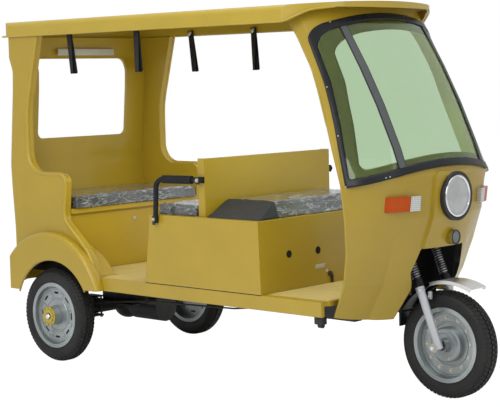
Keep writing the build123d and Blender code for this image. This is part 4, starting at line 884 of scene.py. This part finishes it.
@dataclass
class Lamps:
    """Headlamp, indicators, roundel and tail lamps.

    Attributes:
        lamp_z: Height of the headlamp's middle.
        base_x: Place of the headlamp's seat along the vehicle.
        roundel_face: Middle of the roundel's front.
        roundel_ring: Section of the ring on the roundel.
        ring: Section of the headlamp's chrome ring.
        bowl: Section of its bowl.
        glass: Section of its glass.
    """

    lamp_z: float = 882.0
    base_x: float = 2108.0
    roundel_face: Point = (2110.2, 0.0, 704.0)
    roundel_ring: Profile = ((25.5, 0), (25.5, 1.6), (31.8, 1.6), (31.8, 0), (25.5, 0))
    ring: Profile = (
        (93.5, 0), (93.5, 10), (90, 17), (84, 19), (80, 15), (80, 4), (86, 0), (93.5, 0))
    bowl: Profile = ((81, 6), (62, 1.5), (30, -1), (0, -1.5), (0, -4), (81, 2), (81, 6))
    glass: Profile = (
        (81, 13), (66, 17), (36, 20.5), (0, 22), (0, 19.5), (36, 18), (66, 14.5), (80.5, 10.5),
        (81, 13))

    def build(self) -> None:
        """Dress the lamps and build the headlamp's inside."""
        dress(BLACK_PLASTIC, "headlamp_bezel")
        dress(AMBER, "indicator_lenses_amber")
        dress(PALE_LENS, "indicator_lenses_clear")
        dress(RED, "tail_lamps")
        dress(PLATE, "number_plate")
        dress(GREY_MESH, "nose_roundel")
        Shape().lathe(self.roundel_ring, self.roundel_face, (1, 0, 0), 48).piece(
            "nose_roundel_ring", BLACK_PLASTIC)
        self.headlamp()

    def headlamp(self) -> None:
        """Build the chrome ring, the bowl, the bulb's shield and the ribbed glass."""
        axis, x, z = (1, 0, 0), self.base_x, self.lamp_z
        Shape().lathe(self.ring, (x, 0, z), axis, 72).piece("headlamp_ring", CHROME)
        Shape().lathe(self.bowl, (x + 3, 0, z), axis, 64).piece("headlamp_bowl", BOWL_PAINTED_REFLECTION)
        bar = Shape()
        bar.rod((x + 8, -76.0, z - 4.0), (x + 8, 76.0, z - 4.0), 2.2)
        bar.rod((x + 1, 0.0, z), (x + 13, 0.0, z), 13.0, 2.0)
        bar.piece("headlamp_bulb_shield", BLACK_PLASTIC)
        Shape().lathe(self.glass, (x, 0, z), axis, 64).piece(
            "headlamp_glass", LENS_PAINTED_LIGHT, "chassis", ["headlamp_lens"])


@dataclass
class Cabin:
    """Handrails, straps and the handlebar.

    Attributes:
        strap_places: For each strap its side, its place at the top and at the foot, and its twist.
        strap_top: Height at which the straps leave their rails.
        strap_drop: How far they hang.
        strap_bend: How far the loop's foot hangs below that.
        rail_plates: Middle and size of each handrail's plates on the left side.
        rail_bolts: Seat, size and height of the bolts on them.
    """

    strap_places: tuple[tuple[int, float, float, float], ...] = (
        (-1, 106.0, 131.0, 0.35), (-1, 598.0, 606.0, 0.25), (1, 76.0, 104.0, 0.1),
        (1, 541.0, 546.0, 0.6))
    strap_top: float = 1664.0
    strap_drop: float = 214.0
    strap_bend: float = 7.0
    rail_plates: tuple[tuple[Point, Point, float], ...] = (
        ((1012.0, 466.0, 943.0), (26.0, 6.0, 34.0), 2.0),
        ((757.0, 504.0, 752.0), (20.0, 6.0, 42.0), 2.5))
    rail_bolts: tuple[tuple[Point, float, float], ...] = (
        ((1012.0, 468.5, 944.0), 13.0, 9.0), ((757.0, 506.5, 757.0), 11.0, 8.0))

    def build(self) -> None:
        """Dress the cabin's fittings."""
        dress(FOAM, "handrails")
        dress(WEBBING, "grab_straps")
        dress(CHROME, "handlebar")
        dress(RUBBER, "handlebar_grips")
        self.straps()
        self.rail_fastenings()

    def straps(self) -> None:
        """Hang a loop of webbing from each bolt in the roof's rails."""
        shape, bolts = Shape(), Shape()
        rail_y, leg, bend = HALF_BODY - 32.0, 8, 16
        for side, top_x, foot_x, twist in self.strap_places:
            line, across = [], []
            for step in range(2 * leg + bend + 1):
                turn = math.pi * (step - leg) / bend
                if step <= leg:
                    share, open_y = step / leg, -1.0
                elif step >= leg + bend:
                    share, open_y = (2 * leg + bend - step) / leg, 1.0
                else:
                    share, open_y = 1.0, -math.cos(turn)
                sag = 0.0 if share < 1 else self.strap_bend * math.sin(turn)
                drop = self.strap_drop * share + sag
                bow = (2.0 + 6.0 * share) * open_y
                line.append((top_x + (foot_x - top_x) * share + twist * 5 * open_y * share,
                             side * (rail_y - 12.0) + bow, self.strap_top - drop))
                angle = twist * share * open_y
                across.append(Vector((math.cos(angle), math.sin(angle), 0.0)))
            shape.ribbon(line, across, 36.0, 1.8)
            bolts.bolt((top_x, side * (rail_y - 13.0), 1652.0), (0, -side, 0), 12.0, 8.0)
            if side > 0:
                bolts.bolt((top_x, side * (rail_y - 22.0), 1645.0), (0, -side, 0), 14.0, 7.0)
        shape.piece("strap_loops", WEBBING, "chassis", ["grab_straps"])
        bolts.piece("strap_bolts", BRIGHT, smooth=20.0)

    def rail_fastenings(self) -> None:
        """Bolt the handrails to the seat box and the board."""
        plates, bolts = Shape(), Shape()
        for side in SIDES:
            for (x, y, z), size, bevel in self.rail_plates:
                plates.block((x, side * y, z), size, bevel)
            for (x, y, z), across, height in self.rail_bolts:
                bolts.bolt((x, side * y, z), (0, side, 0), across, height)
        plates.piece("handrail_plates", BLACK_PLASTIC)
        bolts.piece("handrail_bolts", PALE_BOLT, smooth=20.0)


@dataclass
class Wheel:
    """One wheel with its tyre and tread.

    Attributes:
        name: The wheel's name in its pieces' names.
        body: The body that it turns with.
        rim: The rim's solid.
        rubber: The tyre's solid.
        centre: The middle of its tyre.
        blocks: Number of tread blocks in a row.
        block_length: Length of a tread block round the tyre.
        block_depth: Depth of a tread block.
        half_section: Radius and half width of the tyre, from the bead to the crown.
        rows: For each row of blocks its place across, radius, width, lean and skew.
    """

    name: str
    body: str
    rim: str
    rubber: str
    centre: Point
    blocks: int = 68
    block_length: float = 16.0
    block_depth: float = 5.0
    half_section: Profile = (
        (152.5, 35.5), (165, 35.7), (170, 40), (176, 41), (186, 44), (192, 44.6), (200, 44.6),
        (208, 43.5), (214, 41), (219, 37.5), (224, 31), (228, 20), (229, 18.5), (226, 17.5),
        (226, 15), (230, 14), (231, 7), (231.3, 0))
    rows: tuple[tuple[float, float, float, float, float], ...] = (
        (-30.0, 224.0, 22.0, -0.62, -0.5), (-9.5, 231.6, 15.0, 0.0, 0.6),
        (9.5, 231.6, 15.0, 0.0, -0.6), (30.0, 224.0, 22.0, 0.62, 0.5))

    def build(self) -> None:
        """Dress the rim, put the tyre on it and fit its middle."""
        dress(GREY, self.rim)
        self.tyre()
        self.middle()

    def middle(self) -> None:
        """Fit what the wheel's middle carries."""

    def tyre(self) -> None:
        """Spin the tyre's section and set the tread blocks on it."""
        shape = Shape()
        section = [(r, -y) for r, y in self.half_section]
        section += [(r, y) for r, y in reversed(self.half_section[:-1])]
        shape.lathe([*section, section[0]], self.centre, (0, 1, 0), 96)
        for step in range(self.blocks):
            for row, (y, radius, width, lean, skew) in enumerate(self.rows):
                turn = math.tau * (step + 0.5 * (row % 2)) / self.blocks
                spin = (Matrix.Rotation(turn, 4, "Y")
                        @ Matrix.Translation((0, y / METRE, radius / METRE))
                        @ Matrix.Rotation(-lean, 4, "X") @ Matrix.Rotation(skew, 4, "Z"))
                shape.block(self.centre, (self.block_length, width, self.block_depth), 0.0, spin)
        shape.piece(f"{self.name}_tread_tyre", TYRE, self.body, [self.rubber], 30.0)


@dataclass
class FrontWheel(Wheel):
    """The front wheel, with its disc, bolts and caps.

    Attributes:
        hub_rings: Sections of the rings round the hub, and their numbers of faces.
        hub_cap: Section of the black cap.
    """

    hub_rings: tuple[tuple[Profile, int], ...] = (
        (((40, 26), (42, 29), (70, 29), (74.3, 24), (74.3, 10), (76, 10), (76, 25), (71, 31),
          (40, 31), (38, 26), (40, 26)), 72),
        (((30, 26), (30, 34), (52, 34), (54, 26), (30, 26)), 48))
    hub_cap: Profile = ((20, 0), (20, 14), (9.2, 14), (9.2, 0), (20, 0))

    def middle(self) -> None:
        """Add the rolled rings of the disc, its bolts and the black hub caps."""
        rings, bolts, cap = Shape(), Shape(), Shape()
        x, _, z = self.centre
        for side in SIDES:
            axis, seat = (0, side, 0), (x, side * 4.0, z)
            for radius in (138.0, 96.0):
                rings.lathe(rolled(radius, 5, 3, 3.5), seat, axis, 72)
            for profile, steps in self.hub_rings:
                rings.lathe(profile, seat, axis, steps)
            for step in range(12):
                spot = on_circle((x, side * 3.5, z), 116, math.radians(5 + 30 * step))
                bolts.bolt(spot, axis, 15.0, 8.0)
            for degrees in (200, 290):
                spot = on_circle((x, side * 34.0, z), 60, math.radians(degrees))
                bolts.bolt(spot, axis, 11.0, 8.0)
            cap.lathe(self.hub_cap, (x, side * 66.2, z), axis, 32)
        rings.piece("front_disc_rings", GREY, self.body)
        bolts.piece("front_disc_bolts", PALE_BOLT, self.body, smooth=20.0)
        cap.piece("front_hub_caps", BLACK_PLASTIC, self.body)


@dataclass
class RearWheel(Wheel):
    """A rear wheel, with its castle nut and the bosses of its disc.

    Attributes:
        outside: The side across the vehicle that its face is on.
        face: Distance of the disc's face from the tyre's middle plane.
        hub_end: Distance of the hub's end from it.
        nut: Section of the castle nut.
        cap: Section of the chrome cap on it.
        collar: Section of the collar at the hub's foot.
    """

    outside: int = 1
    face: float = 18.0
    hub_end: float = 62.2
    nut: Profile = (
        (16.6, 0), (43, 0), (46, 2), (46, 6), (34, 8), (34, 11), (16.6, 11), (16.6, 0))
    cap: Profile = ((0, 0), (14, 0), (14, 7), (10, 11), (0, 12))
    collar: Profile = ((44.2, 0), (50, 0), (47, 24), (44.2, 24), (44.2, 0))

    def across(self, distance: float) -> Point:
        """Give the point of the axle that is so far out from the tyre's middle plane."""
        x, y, z = self.centre
        return x, y + self.outside * distance, z

    def ring_of_blocks(self, shape: Shape, count: int, offset: float, radius: float,
                       distance: float, size: Point, bevel: float) -> None:
        """Set blocks in a ring round the axle.

        Args:
            shape: The shape that takes them.
            count: How many there are.
            offset: Share of a step by which the first is turned.
            radius: The ring's radius.
            distance: How far out from the tyre's middle plane they are.
            size: The size of one.
            bevel: Radius of its edges.
        """
        for step in range(count):
            turn = math.tau * (step + offset) / count
            shape.block(on_circle(self.across(distance), radius, turn), size, bevel,
                        Matrix.Rotation(-turn, 4, "Y"))

    def middle(self) -> None:
        """Add the brass castle nut, its cap, the disc's pressed bosses and painted shade behind
        its slots.
        """
        brass, cap, rings, slots = Shape(), Shape(), Shape(), Shape()
        axis, face = (0, self.outside, 0), self.across(self.face)
        brass.lathe(self.nut, self.across(self.hub_end), axis, 48)
        self.ring_of_blocks(brass, 10, 0, 43, self.hub_end + 5, (15.0, 9.0, 14.0), 1.5)
        cap.lathe(self.cap, self.across(self.hub_end + 9), axis, 8)
        for radius, height in ((134.0, 4.5), (82.0, 3.5)):
            rings.lathe(rolled(radius, 6, 3, height), face, axis, 72)
        rings.lathe(self.collar, face, axis, 48)
        self.ring_of_blocks(rings, 8, 0.5, 106, self.face, (30.0, 7.0, 22.0), 3.4)
        # Dark blocks behind the disc's slots are painted shade for the wheel's dark inside.
        self.ring_of_blocks(slots, 8, 0, 112, 12, (10.6, 1.6, 34.6), 0.0)
        brass.piece(f"{self.name}_castle_nut", BRASS, self.body, smooth=25.0)
        cap.piece(f"{self.name}_hub_cap", CHROME, self.body, smooth=25.0)
        rings.piece(f"{self.name}_bosses", GREY, self.body)
        slots.piece(f"{self.name}_slot_shade_backs", HOLE_SHADE_AND_SEAM, self.body)


@dataclass
class FrontFork:
    """Fork legs, coil springs, boots, yoke and mudguard, which turn with the steering.

    Attributes:
        boot_low: Distance up the leg of a boot's foot.
        boot_top: Distance up the leg of its top, where the coil starts.
        coil_top: Distance up the leg of the coil's top.
        coil_turns: Number of turns in a coil.
        coil_radius: Radius of the coil's middle line.
        wire: Radius of its wire.
        collar: Section of the collar on a leg, whose foot is at collar_low.
        collar_low: Distance up the leg of the collar's foot.
        boot_folds: Number of folds in a boot.
    """

    boot_low: float = 262.3
    boot_top: float = 296.0
    coil_top: float = 432.0
    coil_turns: int = 12
    coil_radius: float = 18.2
    wire: float = 2.7
    collar: Profile = (
        (17.9, 0), (20.4, 1.5), (20.4, 9), (18.6, 12), (20.4, 15), (20.4, 22.5), (17.9, 24))
    collar_low: float = 238.0
    boot_folds: int = 5

    def build(self) -> None:
        """Dress the fork and wind its springs."""
        dress(SILVER, "fork_legs")
        dress(BLACK_PAINT, "fork_yoke")
        dress(BRIGHT, "front_axle")
        dress(GUARD_PAINTED_SHADE, "front_mudguard")
        dress(RUBBER, "front_mud_flap")
        self.springs()
        self.boots()
        self.fittings()

    @staticmethod
    def legs(low: float, high: float) -> Iterator[tuple[Point, Point]]:
        """Give both ends of a stretch of each leg."""
        for side in SIDES:
            y = side * LEG_SPACING / 2
            yield up_the_leg(low, y), up_the_leg(high, y)

    def fittings(self) -> None:
        """Add the dark sleeves in the springs, the legs' collars, the nuts and a bracket."""
        sleeves, collars, nuts, bracket = Shape(), Shape(), Shape(), Shape()
        for low, high in self.legs(self.boot_top + 0.4, self.coil_top - 0.5):
            sleeves.rod(low, high, 15.6, 0.3, 24)
        for low, high in self.legs(self.collar_low, self.collar_low + 24.0):
            collars.lathe(self.collar, Vector(low), Vector(high) - Vector(low), 32)
        for side in SIDES:
            nuts.bolt((WHEELBASE, side * 117.0, TYRE_RADIUS), (0, side, 0), 26.0, 13.0)
            nuts.bolt((WHEELBASE - 17.0, side * 112.0, TYRE_RADIUS + 4), (0, side, 0), 12.0, 14.0)
        sleeves.piece("fork_sleeves", BLACK_PLASTIC, "steering")
        collars.piece("fork_collars", SILVER, "steering")
        nuts.piece("front_axle_nuts", PALE_BOLT, "steering", smooth=20.0)
        x, y, z = up_the_leg(214.0, -74.0, LEG_LEAD + 22.0)
        bracket.block((x, y, z), (16.0, 12.0, 34.0), 2.0)
        bracket.bolt((x, y - 5.0, z - 4.0), (0, -1, 0), 12.0, 8.0)
        bracket.piece("brake_bracket", SILVER, "steering", smooth=20.0)

    def springs(self) -> None:
        """Wind a coil round each leg."""
        shape = Shape()
        across, per_turn = Vector((0, 1, 0)), 14
        steps = self.coil_turns * per_turn
        for ends in self.legs(self.boot_top + 3, self.coil_top - 3):
            low, high = (Vector(end) for end in ends)
            third = (high - low).normalized().cross(across)
            points = []
            for step in range(steps + 1):
                turn = math.tau * step / per_turn
                spoke = across * math.cos(turn) + third * math.sin(turn)
                centre = low + (high - low) * step / steps
                points.append(tuple(centre + spoke * self.coil_radius))
            shape.tube(points, self.wire)
        shape.piece("fork_coils", COIL, "steering", ["fork_springs"])

    def boots(self) -> None:
        """Fold a rubber boot over the foot of each spring."""
        shape = Shape()
        inner, valley, ridge = 13.5, 18.5, 22
        for ends in self.legs(self.boot_low, self.boot_top):
            low, high = (Vector(end) for end in ends)
            length = (high - low).length
            profile = [(inner, 0.0)]
            for fold in range(self.boot_folds):
                start = length * fold / self.boot_folds
                profile += [(valley, start + 0.4), (ridge, start + 2.2), (ridge, start + 4.2),
                            (valley, start + 6.0)]
            profile += [(inner, length), (inner, 0.0)]
            shape.lathe(profile, low, high - low, 32)
        shape.piece("fork_boots_folded", RUBBER, "steering", ["fork_boots"])


@dataclass
class Underbody:
    """Frame, springs, axle and motor.

    Attributes:
        rod_y: Place of a brake rod across the vehicle.
        rod_line: Places along and up of the rod's line.
        clamp_bolts: Places along and across of the bolts of a spring clamp.
    """

    rod_y: float = 316.0
    rod_line: Profile = ((60.0, 272.0), (230.0, 300.0), (520.0, 326.0), (1080.0, 342.0),
                         (1500.0, 392.0), (1510.0, 429.0))
    clamp_bolts: Profile = ((-38.0, 222.0), (-38.0, 278.0), (38.0, 222.0), (38.0, 278.0))

    def build(self) -> None:
        """Dress what is under the floor."""
        dress(BLACK_PAINT, "chassis_frame", "rear_axle")
        dress(LEAF, "leaf_springs")
        dress(MOTOR, "drive_motor")
        self.beams()
        self.spring_clamps()

    def beams(self) -> None:
        """Hang the side beams, the step's bracket and the brake's rod under the floor."""
        beams, rods = Shape(), Shape()
        for side in SIDES:
            beams.block((262.0, side * 222.0, 316.0), (400.0, 20.0, 50.0), 3.0)
            beams.block((1712.0, side * 440.0, 366.0), (46.0, 34.0, 36.0), 4.0)
            beams.rod((1702.0, side * 440.0, 344.0), (1728.0, side * 440.0, 344.0), 12.0, 2.0)
            rods.tube([(x, side * self.rod_y, z) for x, z in self.rod_line], 4.0)
            rods.block((58.0, side * 318.0, 262.0), (26.0, 12.0, 46.0), 3.0)
        beams.piece("under_beams", BLACK_PAINT)
        rods.piece("brake_rods", LEAF)

    def spring_clamps(self) -> None:
        """Clamp the leaf springs on the axle with bolts and plates."""
        clamps, nuts = Shape(), Shape()
        for side in SIDES:
            for x, y in self.clamp_bolts:
                clamps.rod((x, side * y, 196.0), (x, side * y, 306.0), 5.0, 0.5, 12)
                nuts.bolt((x, side * y, 200.0), (0, 0, -1), 14.0, 9.0)
            for z in (204.0, 302.0):
                clamps.block((0.0, side * 250.0, z), (96.0, 74.0, 8.0), 2.0)
        clamps.piece("spring_clamps", BLACK_PAINT)
        nuts.piece("spring_clamp_nuts", PALE_BOLT, smooth=20.0)


@dataclass
class Studio:
    """Floor, light and camera, with places in metres in the frame.

    Attributes:
        camera_at: Place of the camera.
        azimuth: The way that it looks, from straight across the vehicle.
        pitch: How far it looks down.
        roll: How far it is tilted.
        focal: Its focal length in millimetres.
        shift: Shift of its picture.
        lamps: Name, place, target, size and power of each lamp that is seen in reflections.
        fills: Name, place and target of each small lamp that fills the cabin's shade.
    """

    camera_at: Point = (4.7475, -5.106, 1.407)
    azimuth: float = math.radians(41.984)
    pitch: float = math.radians(4.449)
    roll: float = math.radians(-1.25)
    focal: float = 104.687
    shift: tuple[float, float] = (-0.06756, -0.0278)
    lamps: tuple[tuple[str, Point, Point, float, float], ...] = (
        ("key", (0.9, -4.6, 3.6), (0.0, 0.0, 0.8), 3.2, 108.0),
        ("top", (0.0, 0.4, 4.6), (0.0, 0.0, 0.8), 3.6, 95.0),
        ("front", (5.2, -0.6, 2.4), (0.6, 0.0, 0.9), 2.4, 22.0))
    fills: tuple[tuple[str, Point, Point], ...] = (
        ("cabin", (0.62, -0.10, 1.40), (0.32, -0.12, 0.5)),
        ("bench", (-0.12, -0.10, 1.22), (-0.85, -0.1, 0.5)))

    def build(self) -> None:
        """Set up the studio round the vehicle."""
        self.camera()
        self.floor()
        self.world()
        for row in self.lamps:
            self.lamp(*row)
        for row in self.fills:
            lamp = self.lamp(*row, 0.3, 3.6)
            lamp.visible_camera = lamp.visible_glossy = lamp.visible_transmission = False
        bpy.context.scene.view_settings.view_transform = "Standard"

    def camera(self) -> None:
        """Stand the camera where the view is taken from."""
        a, p, r = self.azimuth, self.pitch, self.roll
        ahead = Vector((-math.sin(a) * math.cos(p), math.cos(a) * math.cos(p), -math.sin(p)))
        level = Vector((math.cos(a), math.sin(a), 0))
        upright = level.cross(ahead)
        right = level * math.cos(r) + upright * math.sin(r)
        up = upright * math.cos(r) - level * math.sin(r)
        data = bpy.data.cameras.new("camera")
        data.lens, data.sensor_width = self.focal, 36.0
        data.shift_x, data.shift_y = self.shift
        made = bpy.data.objects.new("camera", data)
        turned = Matrix((right, up, -ahead)).transposed().to_4x4()
        made.matrix_world = Matrix.Translation(self.camera_at) @ turned
        bpy.context.scene.collection.objects.link(made)
        bpy.context.scene.camera = made

    @staticmethod
    def seen_white(book: Book) -> Any:
        """Give 1 for the rays that should meet a plain white background."""
        light = book.add("LightPath").outputs
        return book.maths("MAXIMUM", light["Is Camera Ray"], light["Is Transmission Ray"])

    def floor(self) -> None:
        """Lay a pale floor that keeps a faint shadow."""
        part = bmesh.new()
        bmesh.ops.create_grid(part, x_segments=2, y_segments=2, size=14.0)
        data = bpy.data.meshes.new("studio_floor")
        part.to_mesh(data)
        part.free()
        material = bpy.data.materials.new("studio_floor")
        book = Book(material)
        shader, mixed = book.find("BSDF_PRINCIPLED"), book.add("MixShader")
        book.put(shader.inputs["Base Color"], (0.86, 0.86, 0.86, 1.0))
        book.put(shader.inputs["Roughness"], 0.9)
        glow = book.add("Emission", Color=(1.0, 1.0, 1.0, 1.0), Strength=1.1)
        share = book.maths("MULTIPLY", self.seen_white(book), 0.9)
        for socket, value in zip(mixed.inputs, (share, shader.outputs[0], glow.outputs[0])):
            book.put(socket, value)
        book.put(book.find("OUTPUT_MATERIAL").inputs["Surface"], mixed.outputs[0])
        data.materials.append(material)
        made = bpy.data.objects.new("studio_floor", data)
        bpy.context.scene.collection.objects.link(made)

    def world(self) -> None:
        """Light everything softly, with white where the camera looks past the vehicle."""
        world = bpy.data.worlds.new("studio")
        bpy.context.scene.world = world
        book = Book(world)
        back = book.find("BACKGROUND")
        book.put(back.inputs["Color"], (1.0, 1.0, 1.0, 1.0))
        strength = book.span(self.seen_white(book), 0.64, 1.0, 0.0, 1.0)
        book.put(back.inputs["Strength"], strength)

    def lamp(self, name: str, place: Point, target: Point, size: float,
             power: float) -> bpy.types.Object:
        """Hang a soft square lamp that looks at a point.

        Args:
            name: The lamp's name.
            place: Where it hangs.
            target: What it looks at.
            size: The length of its side.
            power: Its power in watts.

        Returns:
            The lamp's object.
        """
        data = bpy.data.lights.new(name, "AREA")
        data.size, data.energy = size, power
        made = bpy.data.objects.new(name, data)
        turned = (Vector(target) - Vector(place)).to_track_quat("-Z", "Y").to_matrix().to_4x4()
        made.matrix_world = Matrix.Translation(place) @ turned
        bpy.context.scene.collection.objects.link(made)
        return made


def main() -> None:
    """Build the vehicle's dress and the studio, in order."""
    logging.basicConfig(level=logging.INFO, format="%(name)s: %(message)s")
    parts = [
        Studio(), Coachwork(), Windscreen(), Lamps(), Seating(), Cabin(), FrontFork(),
        Underbody(),
        FrontWheel("front", "front_wheel", "front_rim", "front_tyre",
                   (WHEELBASE, 0.0, TYRE_RADIUS)),
    ]
    for side, word in zip(SIDES, ("right", "left")):
        parts.append(RearWheel(f"rear_{word}", f"rear_wheel_{word}", f"rear_rim_{word}",
                               f"rear_tyre_{word}", (0.0, side * HALF_TRACK, TYRE_RADIUS),
                               outside=side))
    for part in parts:
        LOG.info("building %s", type(part).__name__)
        part.build()


if __name__ == "__main__":
    main()
